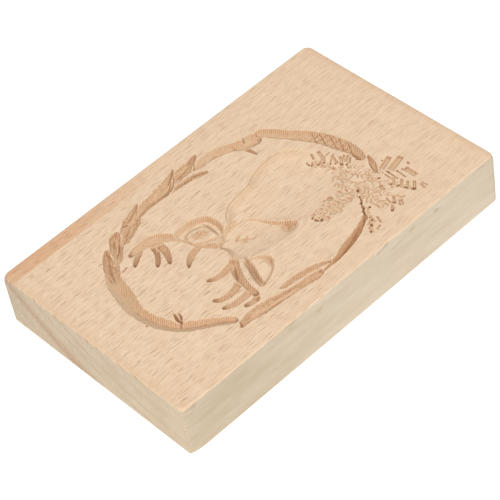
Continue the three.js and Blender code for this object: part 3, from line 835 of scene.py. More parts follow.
def gouge_tree():
    """Sweeps a cut along paths, round at both ends: 1 in sharpness is a round bottom and 2 is a V.

    The lean shifts the bottom of the cut aside by that much for each unit of depth. The look kept on
    the cutter is how strongly it stains the wood, how much painted shade it lays towards the tip, and
    how warm the stain is. Flutes are uneven ridges that run along the bottom.
    """
    tree = Tree.group(
        "Gouge cut",
        GEOMETRY_TREE,
        {
            "Paths": "Geometry",
            "Depth": 2 * MM,
            "Station": 0.35 * MM,
            "Sides": 24,
            "Sharpness": 1.5,
            "Unevenness": 0.5,
            "Root Ramp": 0.8 * MM,
            "Tip Ramp": 1.5 * MM,
            "Lean": (0, 0, 0),
            "Stain": 0.85,
            "Burn": 0.0,
            "Warmth": 0.0,
            "Flutes": 0.0,
            "Flutes Across": 2.4,
            "Flute Length": 7 * MM,
            "Flute Change": 14 * MM,
            "Lump Scale": 0.55 / MM,
        },
        {"Cutter": "Geometry"},
    )
    given = tree.given
    curve = tree.out("GeometryNodeMeshToCurve", {"Mesh": given["Paths"]})
    curve = tree.out("GeometryNodeCurveSplineType", {"Curve": curve}, spline_type="CATMULL_ROM")
    curve = tree.out("GeometryNodeSetSplineResolution", {"Geometry": curve, "Resolution": 8})
    curve = tree.stations(curve, given["Station"])
    curve = tree.out("GeometryNodeSetCurveNormal", {"Curve": curve}, mode="Z_UP")

    half_width = tree.kept("half_width")
    along = tree.add("GeometryNodeSplineParameter").outputs["Length"]
    whole = tree.add("GeometryNodeSplineLength").outputs["Length"]
    ahead = tree.minus(whole, along)
    lack = tree.minus(1, tree.over(tree.math("MINIMUM", along, ahead), half_width, clamp=True))
    roundness = tree.math("SQRT", tree.minus(1.0001, tree.times(lack, lack)))
    lumps = tree.minus(tree.noise(tree.position(), given["Lump Scale"]), 0.5)
    uneven = tree.plus(tree.times(lumps, given["Unevenness"]), 1.0)
    half = tree.times(half_width, uneven, roundness)
    relative = tree.math("SQRT", tree.over(half_width, tree.kept("widest")))
    from_root = tree.over(along, given["Root Ramp"], clamp=True)
    from_tip = tree.over(ahead, given["Tip Ramp"], clamp=True)
    down = tree.math("SINE", tree.times(tree.math("MINIMUM", from_root, from_tip), math.pi / 2))
    sink = tree.times(given["Depth"], relative, tree.math("MAXIMUM", down, 0.02))
    # Painted shade that grows towards the tip, where the end wall shades the floor
    burn = tree.times(tree.ramp(from_tip, 1.0, 0.1), given["Burn"])
    look = tree.joined(given["Stain"], burn, given["Warmth"])
    curve = tree.stored(tree.stored(curve, "half", half), "sink", sink)
    curve = tree.stored(curve, "run", tree.over(along, given["Flute Length"]))
    curve = tree.stored(curve, "look", look, "FLOAT_VECTOR")

    # These places are read again on each geometry that uses them
    x, y, z = tree.split(tree.position())

    def squared(value):
        size = tree.math("POWER", tree.math("ABSOLUTE", value), given["Sharpness"])
        return tree.times(tree.math("SIGN", value), size)

    sockets = {"Resolution": given["Sides"], "Radius": 1.0}
    profile = tree.out("GeometryNodeCurvePrimitiveCircle", sockets, mode="RADIUS")
    profile = tree.moved(profile, tree.joined(squared(x), squared(y), 0.0))
    profile = tree.stored(profile, "aside", tree.times(x, given["Flutes Across"]))
    sockets = {"Curve": curve, "Profile Curve": profile, "Scale": tree.kept("half"), "Fill Caps": True}
    swept = tree.out("GeometryNodeCurveToMesh", sockets)
    height = tree.times(tree.over(z, tree.kept("half")), tree.kept("sink"))
    region = tree.over(tree.plus(x, y), given["Flute Change"])
    flute = tree.noise(tree.joined(tree.kept("aside"), tree.kept("run"), region))
    flute = tree.times(tree.minus(flute, 0.5), given["Flutes"])
    height = tree.times(height, tree.plus(flute, 1.0))
    leaning = tree.scaled(given["Lean"], tree.math("ABSOLUTE", height))
    cutter = tree.moved(swept, tree.vector("ADD", tree.joined(x, y, height), leaning))
    return tree.finish(Cutter=tree.made_real(cutter))


def sprig_tree():
    """Sets pairs of V-shaped, square-ended needles along stems."""
    tree = Tree.group(
        "Fir sprig",
        GEOMETRY_TREE,
        {
            "Stems": "Geometry",
            "Pitch": 1.8 * MM,
            "Width": 1.0 * MM,
            "Depth": 1.0 * MM,
            "Spread": math.radians(38),
            "Unevenness": math.radians(34),
            "Seed": 0,
        },
        {"Cutter": "Geometry"},
    )
    given = tree.given
    stems = tree.stations(tree.out("GeometryNodeMeshToCurve", {"Mesh": given["Stems"]}), given["Pitch"])
    base = tree.turned_along(tree.out("GeometryNodeInputTangent"))
    prism = tree.out("GeometryNodeMeshCylinder", {"Vertices": 4, "Radius": 0.5, "Depth": 1.0})
    lying = tree.transformed(prism, (0.5, 0, 0), (0, math.pi / 2, 0))
    join = tree.add("GeometryNodeJoinGeometry")
    for number, side in enumerate((-1.0, 1.0)):
        seed = tree.plus(given["Seed"], number)
        swing, long, wide, deep = (
            tree.random(low, high, tree.plus(seed, step))
            for low, high, step in (
                (tree.times(given["Unevenness"], -1), given["Unevenness"], 10),
                (0.55, 1.25, 20),
                (0.8, 1.15, 30),
                (1.0, 2.3, 40),
            )
        )
        turn = tree.plus(tree.times(given["Spread"], side), swing)
        spin = tree.out("FunctionNodeAxisAngleToRotation", {"Axis": (0, 0, 1), "Angle": turn})
        sockets = {"Rotation": base, "Rotate By": spin}
        rotation = tree.out("FunctionNodeRotateRotation", sockets, rotation_space="LOCAL")
        sizes = zip((tree.kept("needle_length"), given["Width"], given["Depth"]), (long, wide, deep))
        scale = tree.joined(*(tree.times(size, factor) for size, factor in sizes))
        tree.feed(join.inputs[0], tree.on_points(stems, lying, rotation, scale))
    return tree.finish(Cutter=tree.made_real(join.outputs[0]))


def needle_tree():
    """Lays a flat-bottomed, square-ended needle at each point, along the vector kept on it.

    Wide needles stain the wood fully and the narrowest only a little.
    """
    tree = Tree.group(
        "Fir needles",
        GEOMETRY_TREE,
        {
            "Places": "Geometry",
            "Depth": 1.5 * MM,
            "Usual Width": 1.2 * MM,
            "Stain": 0.5,
            "Warmth": 0.3,
        },
        {"Cutter": "Geometry"},
    )
    given = tree.given
    along, width = tree.kept("along", "FLOAT_VECTOR"), tree.kept("width")
    relative = tree.math("SQRT", tree.over(width, given["Usual Width"]))
    height = tree.times(given["Depth"], relative, 2.0)
    six_sided = tree.out("GeometryNodeMeshCylinder", {"Vertices": 6, "Radius": 0.5, "Depth": 1.0})
    bar = tree.transformed(six_sided, rotation=(math.pi / 2, 0, math.pi / 2))
    stain = tree.times(given["Stain"], tree.ramp(width, 1.1 * MM, 2.2 * MM, 0.15, 1.0))
    look = tree.joined(stain, 0.0, given["Warmth"])
    places = tree.stored(given["Places"], "look", look, "FLOAT_VECTOR")
    size = tree.joined(tree.vector("LENGTH", along), width, height)
    laid = tree.on_points(places, bar, tree.turned_along(along), size)
    return tree.finish(Cutter=tree.made_real(laid))


def cone_tree():
    """Lays rows of overlapping scales inside an egg shape, each row half a pitch aside of the last."""
    tree = Tree.group(
        "Cone scales",
        GEOMETRY_TREE,
        {
            "Blank": "Geometry",
            "Centre": (0, 0, 0),
            "Width": 8 * MM,
            "Length": 17 * MM,
            "Pitch": 2 * MM,
            "Depth": 1.5 * MM,
            "Tilt": math.radians(20),
            "Scale Width": 0.62,
            "Scale Length": 0.8,
            "Fullness": 0.46,
        },
        {"Cutter": "Geometry"},
    )
    given = tree.given
    pitch = given["Pitch"]
    sockets = {}
    for axis, size, spare in (("X", given["Width"], 2), ("Y", given["Length"], 1)):
        count = tree.plus(tree.math("ROUND", tree.over(size, pitch)), spare)
        sockets["Size " + axis] = tree.times(tree.minus(count, 1), pitch)
        sockets["Vertices " + axis] = count
    grid = tree.out("GeometryNodeMeshGrid", sockets)
    x, y, _ = tree.split(tree.position())
    row = tree.math("ROUND", tree.over(y, pitch))
    aside = tree.times(tree.math("PINGPONG", row, 1), tree.times(pitch, 0.5))
    grid = tree.moved(grid, tree.joined(tree.plus(x, aside), y, 0.0))
    egg = tree.plus(
        tree.math("POWER", tree.over(x, tree.times(given["Width"], given["Fullness"])), 2),
        tree.math("POWER", tree.over(y, tree.times(given["Length"], 0.5)), 2),
    )
    sockets = {"Geometry": grid, "Selection": tree.math("GREATER_THAN", egg, 1)}
    grid = tree.out("GeometryNodeDeleteGeometry", sockets, domain="POINT")
    ball = tree.out("GeometryNodeMeshUVSphere", {"Segments": 16, "Rings": 10, "Radius": 1.0})
    wide, long = (tree.times(pitch, given["Scale " + side]) for side in ("Width", "Length"))
    size = tree.joined(wide, long, given["Depth"])
    turn = tree.joined(given["Tilt"], 0.0, tree.random(-1.0, 1.0))
    turn = tree.out("FunctionNodeEulerToRotation", {"Euler": turn})
    scales = tree.on_points(grid, ball, turn, tree.scaled(size, tree.random(0.5, 1.2, 3)))
    return tree.finish(Cutter=tree.made_real(tree.transformed(scales, given["Centre"])))


def press_tree():
    """Lowers each point of a flat sheet to the deepest cutter over it, and keeps that cutter's look."""
    tree = Tree.group(
        "Sink to the cutters",
        GEOMETRY_TREE,
        {"Sheet": "Geometry", "Cutters": "Collection", "Reach": 10 * MM},
        {"Sheet": "Geometry"},
    )
    given = tree.given
    cutters = tree.out("GeometryNodeCollectionInfo", {"Collection": given["Cutters"]})
    cutters = tree.out("GeometryNodeRealizeInstances", {"Geometry": cutters})
    x, y, _ = tree.split(tree.position())
    sockets = {
        "Attribute": tree.kept("look", "FLOAT_VECTOR"),
        "Target Geometry": cutters,
        "Source Position": tree.joined(x, y, tree.times(given["Reach"], -1)),
        "Ray Direction": (0, 0, 1),
        "Ray Length": given["Reach"],
    }
    cast = tree.add("GeometryNodeRaycast", sockets, data_type="FLOAT_VECTOR").outputs
    sheet = tree.moved(given["Sheet"], cast["Hit Position"], cast["Is Hit"])
    sheet = tree.stored(sheet, "look", cast["Attribute"], "FLOAT_VECTOR")
    return tree.finish(Sheet=tree.made_real(sheet))


def cutter_depth(x, y):
    """Depth in millimetres of the deepest cutter at these places on the face, and its look there."""
    flat = np.stack([x.ravel() * MM, y.ravel() * MM, np.zeros(x.size)], axis=1)
    mesh = bpy.data.meshes.new("places")
    mesh.vertices.add(x.size)
    mesh.vertices.foreach_set("co", flat.ravel())
    obj = bpy.data.objects.new("places", mesh)
    bpy.context.scene.collection.objects.link(obj)
    inputs = {"Cutters": cutters_collection(), "Material": wood_materials()[CUT]}
    sunk = made_by_tree(obj, press_tree(), inputs)
    depth = -read_vectors(sunk.vertices, "co")[:, 2].astype(float).reshape(x.shape) / MM
    look = read_vectors(sunk.attributes["look"].data, "vector")
    bpy.data.objects.remove(obj)
    bpy.data.meshes.remove(sunk)
    return depth, [look[:, place].reshape(x.shape) for place in range(3)]


def carved_depth(x, y):
    """Depth in millimetres that the cutter leaves at these places on the face, and how it left the wood.

    Its passes run side by side at one angle. Where they climb a steep side they tear the wood and
    leave fine uneven ridges. Needles with little stain are pressed into whatever lies under them.
    Painted shade is 1 in the sharp creases of the cut and a painted highlight is 1 on its sharp ridges;
    tips, cracks, lines and spots get painted shade too.
    """
    carving = settings("carving")
    random = np.random.default_rng(carving.seed)
    gouged, (stain, burn, warm) = cutter_depth(x, y)
    body = body_depth(x, y)
    fuzzy = np.maximum.reduce(
        [
            pit(x, y, pit_x, pit_y, length + FUZZ_MARGIN * width, (1 + FUZZ_MARGIN) * width, turn)
            for pit_x, pit_y, length, width, turn, _ in HEAD_PITS
        ]
    )
    fuzzy = np.where(body > FUZZ_GROUND, fuzzy, 0)
    pressed = stain < PRESSED_STAIN
    depth = np.where(pressed, body + gouged, np.maximum(gouged, body))

    cos, sin = math.cos(carving.pass_angle), math.sin(carving.pass_angle)
    slope_y, slope_x = np.gradient(depth, y[1, 0] - y[0, 0], x[0, 1] - x[0, 0])
    climb = -slope_x * math.cos(carving.tear_angle) - slope_y * math.sin(carving.tear_angle)
    torn = share_of(climb, TEARING_CLIMB)
    sway, grit = (softened(random.standard_normal(x.shape), reach) for reach in (SWAY_REACH, 1))
    share = np.mod((y * cos - x * sin) * MM / carving.pass_pitch + PASS_SWAY * sway / sway.std(), 1)
    rib = (2 * np.abs(share - 0.5)) ** 2
    roughness = np.maximum(TORN_GRIT * torn, FUZZ_GRIT * fuzzy)
    ridges = carving.ridge / MM * (torn * rib + roughness * grit / grit.std())

    cracks, shade_lines, creases = (
        line_share(x, y, paths) for paths in (BARK_CRACKS, SHADE_LINES, BODY_CREASES)
    )
    cracks = np.where(depth > CRACKED_DEPTH, cracks, 0)
    spots = np.maximum.reduce(
        [pit(x, y, *place, length, SPOT_ROUNDNESS * length, turn) for *place, length, turn in SHADED_SPOTS]
    )
    spots = np.minimum(SPOT_GAIN * spots, 1)
    depth = depth + (cracks + SPOT_DEPTH * spots) * carving.crack_depth / MM
    depth += np.where(gouged > TOUCH, 0, creases) * carving.crease_depth / MM
    relief = depth - softened(depth, 2)
    uppermost = gouged > np.where(pressed, TOUCH, np.maximum(body, TOUCH))
    fuzz_stain = FUZZ_STAIN * fuzzy
    # Painted shade in the cracks, along the shade lines and in the spots
    shade_marks = [CRACK_SHADE * cracks, LINE_SHADE * shade_lines, SPOT_SHADE * spots]
    marks = {
        "stain": np.maximum.reduce([stain * uppermost, CREASE_STAIN * (creases > CREASE_CORE), fuzz_stain]),
        # Painted shade at tips, in cracks, along the shade lines and in the spots
        "burn": np.maximum.reduce([burn * uppermost, *shade_marks]),
        "warm": np.maximum(warm * uppermost, fuzz_stain),
        "torn": softened(torn, 1),
        # The cut material gives rib crests a painted highlight and the troughs between them painted shade
        "rib": rib * torn,
        # Painted shade in the sharp creases of the cut, where less light reaches
        "hollow": share_of(relief, CREASE_SHADE_RELIEF),
        # Painted highlight on the sharp ridges of the cut
        "crest": share_of(-relief, RIDGE_HIGHLIGHT_RELIEF),
    }
    return np.maximum(depth - ridges, 0), marks


def pooled(blocks, reduce):
    """Joins each two by two blocks of an array into one."""
    return reduce([blocks[down::2, right::2] for right in (0, 1) for down in (0, 1)], axis=0)


def bend(height, size):
    """How far the middle and the mid-edges of each square of this size lie off its corners' mean."""
    half = size // 2
    a, b = height[:-1:size, :-1:size], height[:-1:size, size::size]
    c, d = height[size::size, :-1:size], height[size::size, size::size]
    rows, columns = a.shape
    low = height[:-1:size, half::size][:rows, :columns] - (a + b) / 2
    high = height[size::size, half::size][:rows, :columns] - (c + d) / 2
    left = height[half::size, :-1:size][:rows, :columns] - (a + c) / 2
    right = height[half::size, size::size][:rows, :columns] - (b + d) / 2
    middle = height[half::size, half::size][:rows, :columns] - (a + b + c + d) / 4
    return np.abs([low, high, left, right, middle]).max(axis=0)


def squares_to_split(height, tolerance, sizes):
    """For each size of square, which ones bend too much, or lie beside one that is two sizes smaller."""
    split = {}
    error = None
    for size in sizes:
        own = bend(height, size)
        error = own if error is None else np.maximum(own, pooled(error, np.max))
        split[size] = error > tolerance
    for size in sizes[:-1]:
        near = split[size].copy()
        near[1:] |= split[size][:-1]
        near[:-1] |= split[size][1:]
        near[:, 1:] |= split[size][:, :-1]
        near[:, :-1] |= split[size][:, 1:]
        split[size * 2] |= pooled(near, np.any)
    return split


def fitted_triangles(height, tolerance, largest):
    """Triangles over a raster of heights, small only where the surface bends.

    Squares are split until each lies within tolerance of the raster, and neighbours differ by one
    split at most, so that the triangles meet edge to edge.
    """
    sizes = [2**power for power in range(1, int(math.log2(largest)) + 1)]
    split = squares_to_split(height, tolerance, sizes)
    width = height.shape[1]
    flat = height.ravel()
    triangles = []

    def add_triangles(chosen, *corners):
        triangles.append(np.stack([corner[chosen] for corner in corners], axis=1))

    exists = np.ones_like(split[largest])
    for size in reversed([1] + sizes):
        parted = split.get(size, np.zeros_like(exists))
        rows, columns = np.nonzero(exists & ~parted)

        def at(down, right):
            return (rows * size + down) * width + columns * size + right

        corners = [at(0, 0), at(0, size), at(size, size), at(size, 0)]
        a, b, c, d = corners
        fine = np.pad(parted, 1)
        beside = [fine[rows + down, columns + right] for down, right in ((0, 1), (1, 2), (2, 1), (1, 0))]
        plain = ~np.any(beside, axis=0)
        rising = np.abs(flat[a] - flat[c]) <= np.abs(flat[b] - flat[d])
        add_triangles(plain & rising, a, b, c)
        add_triangles(plain & rising, a, c, d)
        add_triangles(plain & ~rising, a, b, d)
        add_triangles(plain & ~rising, b, c, d)
        if size > 1:
            half = size // 2
            centre = at(half, half)
            middles = [at(0, half), at(half, size), at(size, half), at(half, 0)]
            for edge in range(4):
                start, end = corners[edge], corners[(edge + 1) % 4]
                add_triangles(~plain & ~beside[edge], centre, start, end)
                add_triangles(~plain & beside[edge], centre, start, middles[edge])
                add_triangles(~plain & beside[edge], centre, middles[edge], end)
            exists = np.repeat(np.repeat(exists & parted, 2, axis=0), 2, axis=1)
    return np.concatenate(triangles)


def rounded_loop(board, inset, height):
    """Points of the board's outline drawn in by inset, at this height, anticlockwise from above."""
    middle, reach = (BOARD_LOW + BOARD_HIGH) / 2, (BOARD_HIGH - BOARD_LOW) / 2
    crown = max(0, 1 - (BOARD_HIGH.z - height) / board.crown_height) ** 2
    points = []
    for quarter, (side_x, side_y) in enumerate(((1, 1), (-1, 1), (-1, -1), (1, -1))):
        across, along = (
            value * MM + max(0, board.crown_radius - value * MM) * crown for value in CORNERS[quarter]
        )
        for step in range(CORNER_STEPS + 1):
            angle = (quarter + step / CORNER_STEPS) * math.pi / 2
            x = middle.x + side_x * (reach.x - across) + (across - inset) * math.cos(angle)
            y = middle.y + side_y * (reach.y - along) + (along - inset) * math.sin(angle)
            points.append((x, y, height))
    return points


def board_shell(board):
    """Loops of the board from its underside up to its face, with a holding loop beside each arc."""
    arris, foot, hold = board.arris_radius, board.foot_radius, HOLD * MM
    bottom, top = BOARD_LOW.z, BOARD_HIGH.z
    arc = [step / ARRIS_STEPS * math.pi / 2 for step in range(ARRIS_STEPS + 1)]
    profile = [(foot + hold, bottom)]
    profile += [(foot * (1 - math.sin(angle)), bottom + foot * (1 - math.cos(angle))) for angle in arc]
    profile.append((0, bottom + foot + hold))
    drop = board.crown_height - arris
    profile += [(0, top - arris - drop * (1 - step / CROWN_STEPS)) for step in range(CROWN_STEPS)]
    profile += [(arris * (1 - math.cos(angle)), top - arris * (1 - math.sin(angle))) for angle in arc]
    profile.append((arris + hold, top))
    return [rounded_loop(board, inset, height) for inset, height in profile]


def board_mesh():
    """The whole board as one closed mesh: shell, plain face, and the carved field inside it."""
    board = settings("board")
    cell = board.face_cell / MM
    block = cell * LARGEST_SQUARE
    reach_x, reach_y = (math.ceil(reach / block) * block for reach in FIELD_REACH)
    columns, rows = (round(2 * reach / cell) for reach in (reach_x, reach_y))
    x, y = np.meshgrid(
        np.linspace(-reach_x, reach_x, columns + 1), np.linspace(-reach_y, reach_y, rows + 1)
    )
    depth, marks = carved_depth(x, y)
    triangles = fitted_triangles(depth, board.face_tolerance / MM, LARGEST_SQUARE)
    used, triangles = np.unique(triangles, return_inverse=True)
    triangles = triangles.reshape(-1, 3)
    field = np.stack([x.ravel()[used] * MM, y.ravel()[used] * MM, FACE - depth.ravel()[used] * MM], axis=1)

    loops = board_shell(board)
    size = len(loops[0])
    shell = [point for loop in loops for point in loop]
    faces = [tuple(reversed(range(size)))]
    for level in range(len(loops) - 1):
        for place in range(size):
            here, beside = level * size + place, level * size + (place + 1) % size
            faces.append((here, beside, beside + size, here + size))

    across, down = used % (columns + 1), used // (columns + 1)
    border = np.nonzero((across == 0) | (across == columns) | (down == 0) | (down == rows))[0]
    turn = np.arctan2(field[border, 1] / reach_y, field[border, 0] / reach_x)
    border = border[np.argsort(turn)]
    rim = list(range(len(shell) - size, len(shell)))
    numbers = rim + [int(place) + len(shell) for place in border]
    outlines = [[Vector(shell[place]) for place in rim], [Vector(field[place]) for place in border]]
    faces += [tuple(numbers[place] for place in triple) for triple in tessellate_polygon(outlines)]

    vertices = np.concatenate([np.array(shell), field])
    mesh = bpy.data.meshes.new("mould_board_carved")
    mesh.from_pydata(vertices.tolist(), [], faces + (triangles + len(shell)).tolist())
    for name, mark in marks.items():
        keep_values(mesh, name, np.concatenate([np.zeros(len(shell)), mark.ravel()[used]]))
    mesh.validate()
    return mesh


def mark_cut_faces(mesh):
    """Gives the cut material to every facet below the face, and the sanded one to the rest."""
    x, y, z = read_vectors(mesh.polygons, "center").T
    inner = (np.abs(x) < FIELD_REACH[0] * MM) & (np.abs(y) < FIELD_REACH[1] * MM)
    sunk = inner & (z < FACE - SHALLOWEST * MM) & (z > FACE - DEEPEST * MM)
    mesh.polygons.foreach_set("material_index", np.where(sunk, CUT, SANDED).astype(np.int32))


def rings_group():
    """Growth rings round an axis along the board, high over its face, that wander a little.

    Line is the late wood of the rings, Close the close rings in the heart strip, Heart the strip.
    """
    inputs = {"Place": "Vector", "Pitch": 1.8, "Wander": 1.6, "Ripple": 0.35, "Close Pitch": 0.62}
    outputs = dict.fromkeys(("Line", "Close", "Heart"), "Float")
    tree = Tree.group("Growth rings", SHADER_TREE, inputs, outputs)
    place = tree.given["Place"]
    slow = tree.noise(place, (0.035, 0.008, 0.035), 1.0)
    fine = tree.noise(place, (0.5, 0.05, 0.5))
    x, _, z = tree.split(place)
    radius = tree.vector("LENGTH", tree.joined(tree.minus(x, RING_X), 0.0, tree.minus(z, RING_Z)))
    wander = tree.times(tree.minus(slow, 0.5), tree.given["Wander"])
    radius = tree.plus(radius, wander, tree.times(tree.minus(fine, 0.5), tree.given["Ripple"]))
    count = tree.over(radius, tree.given["Pitch"])
    number = tree.math("FLOOR", count)
    own = tree.add("ShaderNodeTexWhiteNoise", {"W": number}, noise_dimensions="1D").outputs["Value"]
    share = tree.math("FRACT", count)
    line = tree.times(tree.ramp(share, 0.52, 0.84), tree.ramp(share, 1.0, 0.95), tree.between(own, 0.35))
    inner, outer = HEART_RADII
    inside = tree.ramp(radius, inner - 0.25, inner + 0.25)
    outside = tree.ramp(radius, outer + 0.5, outer - 0.5)
    heart = tree.times(inside, outside)
    close = tree.math("PINGPONG", tree.over(radius, tree.given["Close Pitch"]), 1.0)
    close = tree.times(tree.ramp(close, 0.45, 0.85), heart)
    return tree.finish(Line=line, Close=close, Heart=heart)


def flecks_group():
    """Short dark dashes along the grain, one in each cell of an uneven brick pattern."""
    inputs = {"Place": "Vector", "Spacing": 0.86, "Length": 7.0, "Thickness": 0.07}
    tree = Tree.group("Ray flecks", SHADER_TREE, inputs, {"Fleck": "Float"})
    place, spacing, length = tree.given["Place"], tree.given["Spacing"], tree.given["Length"]
    sway = tree.noise(place, (0.1, 0.09, 0.1), 1.0)
    x, y, _ = tree.split(place)
    x = tree.plus(x, tree.times(sway, 1.6))
    spot = tree.joined(tree.over(x, spacing), tree.over(y, length), 0.0)
    sockets = {"Vector": spot, "Scale": 1.0, "Randomness": 0.8}
    cells = tree.add("ShaderNodeTexVoronoi", sockets, voronoi_dimensions="2D").outputs
    aside, ahead, _ = tree.split(tree.vector("SUBTRACT", spot, cells["Position"]))
    aside = tree.math("ABSOLUTE", tree.times(aside, spacing))
    own = tree.add("ShaderNodeSeparateColor", {"Color": cells["Color"]}).outputs
    reach, weight = tree.between(own["Red"], 0.18, 0.42), tree.between(own["Green"], 0.15)
    ends = tree.over(tree.math("ABSOLUTE", ahead), reach)
    lens = tree.minus(1.0, tree.times(ends, ends), clamp=True)
    half = tree.times(tree.given["Thickness"], tree.plus(own["Blue"], 0.45))
    solid = tree.ramp(tree.over(aside, tree.plus(tree.times(half, lens), 0.001)), 1.15, 0.75)
    return tree.finish(Fleck=tree.times(solid, tree.ramp(lens, 0.0, 0.3), weight))


def fibre_group():
    """Fine streaks along the grain, in two sizes."""
    outputs = {"Fine": "Float", "Broad": "Float"}
    tree = Tree.group("Fibre", SHADER_TREE, {"Place": "Vector"}, outputs)
    place = tree.given["Place"]
    fine = tree.noise(place, (2.1, 0.15, 2.1), 3.0, 0.6)
    broad = tree.noise(place, (0.55, 0.035, 0.55), 2.0, 0.55)
    return tree.finish(Fine=fine, Broad=broad)


def long_grain_group(rings, flecks, fibre):
    """Colour and relief of beech cut along the grain; flecks and heart strip fade from end to end."""
    tree = Tree.group(
        "Long grain",
        SHADER_TREE,
        {
            "Place": "Vector",
            "Wood": (0.8, 0.6, 0.4, 1),
            "Pale": (0.9, 0.7, 0.5, 1),
            "Fleck": (0.4, 0.2, 0.1, 1),
            "Heart": (0.7, 0.4, 0.3, 1),
            "Fleck Weight": 0.6,
        },
        {"Colour": "Color", "Height": "Float"},
    )
    given = tree.given
    place = given["Place"]
    x, y, z = tree.split(place)
    ring, streak = (tree.use(group, {"Place": place}) for group in (rings, fibre))
    large = tree.use(flecks, {"Place": place})["Fleck"]
    elsewhere = tree.vector("ADD", place, (31.7, 12.3, 0.0))
    sockets = {"Place": elsewhere, "Spacing": 0.6, "Length": 4.4, "Thickness": 0.055}
    small = tree.use(flecks, sockets)["Fleck"]
    paleness = tree.plus(tree.times(streak["Fine"], 0.75), tree.times(streak["Broad"], 0.15))
    fade = tree.times(tree.ramp(y, -10.0, 62.0, 0.05, 0.8), tree.ramp(z, 0.0, 8.0, 0.3, 1.0))
    pinkness = tree.times(ring["Heart"], fade, tree.ramp(streak["Broad"], 0.3, 0.6, 0.65, 1.0))
    dashes = tree.math("MAXIMUM", large, tree.times(small, 0.55))
    sides = tree.times(tree.ramp(y, -62.0, 55.0, 0.72, 1.15), tree.ramp(x, -42.0, -22.0, 0.85, 1.0))
    strength = tree.math("MULTIPLY", given["Fleck Weight"], sides, clamp=True)
    colour = tree.layered(
        given["Wood"],
        (tree.ramp(paleness, 0.3, 0.66), given["Pale"]),
        (tree.times(ring["Line"], 0.05), given["Fleck"]),
        (pinkness, given["Heart"]),
        (tree.times(dashes, strength), given["Fleck"]),
    )
    height = tree.minus(tree.times(streak["Fine"], 0.5), tree.times(dashes, 0.4))
    return tree.finish(Colour=colour, Height=height)


def edge_masks_group():
    """Where the narrow sides and the ends are, with a soft uneven change at each arris.

    Corner is the upright edge between a side and an end, Rim the strip of the face along an end.
    """
    outputs = dict.fromkeys(("Side", "End", "Corner", "Rim"), "Float")
    tree = Tree.group("Sides and ends", SHADER_TREE, {"Place": "Vector", "Softness": 0.35}, outputs)
    place, soft = tree.given["Place"], tree.given["Softness"]
    x, y, z = tree.split(place)
    wobble = tree.minus(tree.noise(place, 0.35, 3.0), 0.5)
    from_face = tree.math("MINIMUM", tree.minus(BOARD_HIGH.z / MM, z), z)
    from_side = tree.minus(BOARD_HIGH.x / MM, tree.math("ABSOLUTE", x))
    from_end = tree.minus(BOARD_HIGH.y / MM, tree.math("ABSOLUTE", y))
    low = tree.times(soft, -1)
    side, end = (
        tree.ramp(tree.plus(tree.minus(from_face, distance), wobble), low, soft)
        for distance in (from_side, from_end)
    )
    end = tree.times(end, tree.ramp(tree.minus(from_side, from_end), -1.2, 0.9))
    corner = tree.ramp(tree.plus(from_side, from_end), 2.4, 0.9)
    rim = tree.ramp(tree.plus(from_end, tree.times(wobble, 6.0)), 4.5, 0.5)
    return tree.finish(Side=side, End=end, Corner=corner, Rim=rim)


def end_grain_group(rings):
    """Colour and relief of beech cut across the grain: dark ring lines and fine pale rays."""
    tree = Tree.group(
        "End grain",
        SHADER_TREE,
        {
            "Place": "Vector",
            "Wood": (0.7, 0.5, 0.35, 1),
            "Ring": (0.4, 0.25, 0.15, 1),
            "Heart": (0.7, 0.4, 0.3, 1),
            "Ray": (1, 0.93, 0.8, 1),
            "Ray Weight": 0.14,
        },
        {"Colour": "Color", "Height": "Float"},
    )
    given = tree.given
    place = given["Place"]
    ring = tree.use(rings, {"Place": place})
    x, _, z = tree.split(place)
    turn = tree.math("ARCTAN2", tree.minus(x, RING_X), tree.minus(RING_Z, z))
    rays = tree.noise(tree.joined(tree.times(turn, 340.0), tree.times(z, 0.25), 0.0))
    speck = tree.noise(place, (4.5, 1.5, 4.5))
    mottle = tree.noise(place, 0.12, 3.0)
    lines = tree.times(ring["Line"], tree.ramp(x, -44.0, -30.0, 0.25, 0.6))
    close = tree.times(ring["Close"], tree.ramp(x, -44.5, -37.0, 0.2, 0.75))
    colour = tree.layered(
        given["Wood"],
        (tree.ramp(mottle, 0.35, 0.7, 0.0, 0.1), given["Ring"]),
        (tree.times(ring["Heart"], 0.15), given["Heart"]),
        (tree.math("MAXIMUM", lines, close), given["Ring"]),
        (tree.ramp(speck, 0.5, 0.75, 0.0, 0.2), given["Ring"]),
        (tree.times(tree.ramp(rays, 0.5, 0.68), given["Ray Weight"]), given["Ray"]),
    )
    height = tree.plus(tree.times(ring["Line"], -0.3), tree.times(speck, -0.5))
    return tree.finish(Colour=colour, Height=height)


def new_material(name, colour, roughness, specular=0.5):
    """A material with a plain shader, ready for nodes to be added to its tree."""
    material = bpy.data.materials.new(name)
    material.use_nodes = True
    tree = Tree(material.node_tree)
    shader = tree.nodes["Principled BSDF"].inputs
    for key, value in (("Base Color", colour), ("Roughness", roughness), ("Specular IOR Level", specular)):
        tree.feed(shader[key], value)
    return material, tree, shader


def place_in_mm(tree):
    return tree.scaled(tree.add("ShaderNodeTexCoord").outputs["Object"], 1 / MM)


def finish_shader(tree, shader, colour, roughness, height, strength):
    """Links the colour, the roughness and the relief of the wood to its shader."""
    tree.feed(shader["Base Color"], colour)
    tree.feed(shader["Roughness"], roughness)
    sockets = {"Height": height, "Strength": strength, "Distance": BUMP_DISTANCE * MM}
    tree.feed(shader["Normal"], tree.add("ShaderNodeBump", sockets).outputs["Normal"])


def long_grain(tree, groups, place, beech):
    sockets = {
        "Place": place,
        "Wood": beech.face,
        "Pale": beech.pale,
        "Fleck": beech.fleck,
        "Heart": beech.heart,
        "Fleck Weight": beech.fleck_weight,
    }
    return tree.use(groups["long_grain"], sockets)


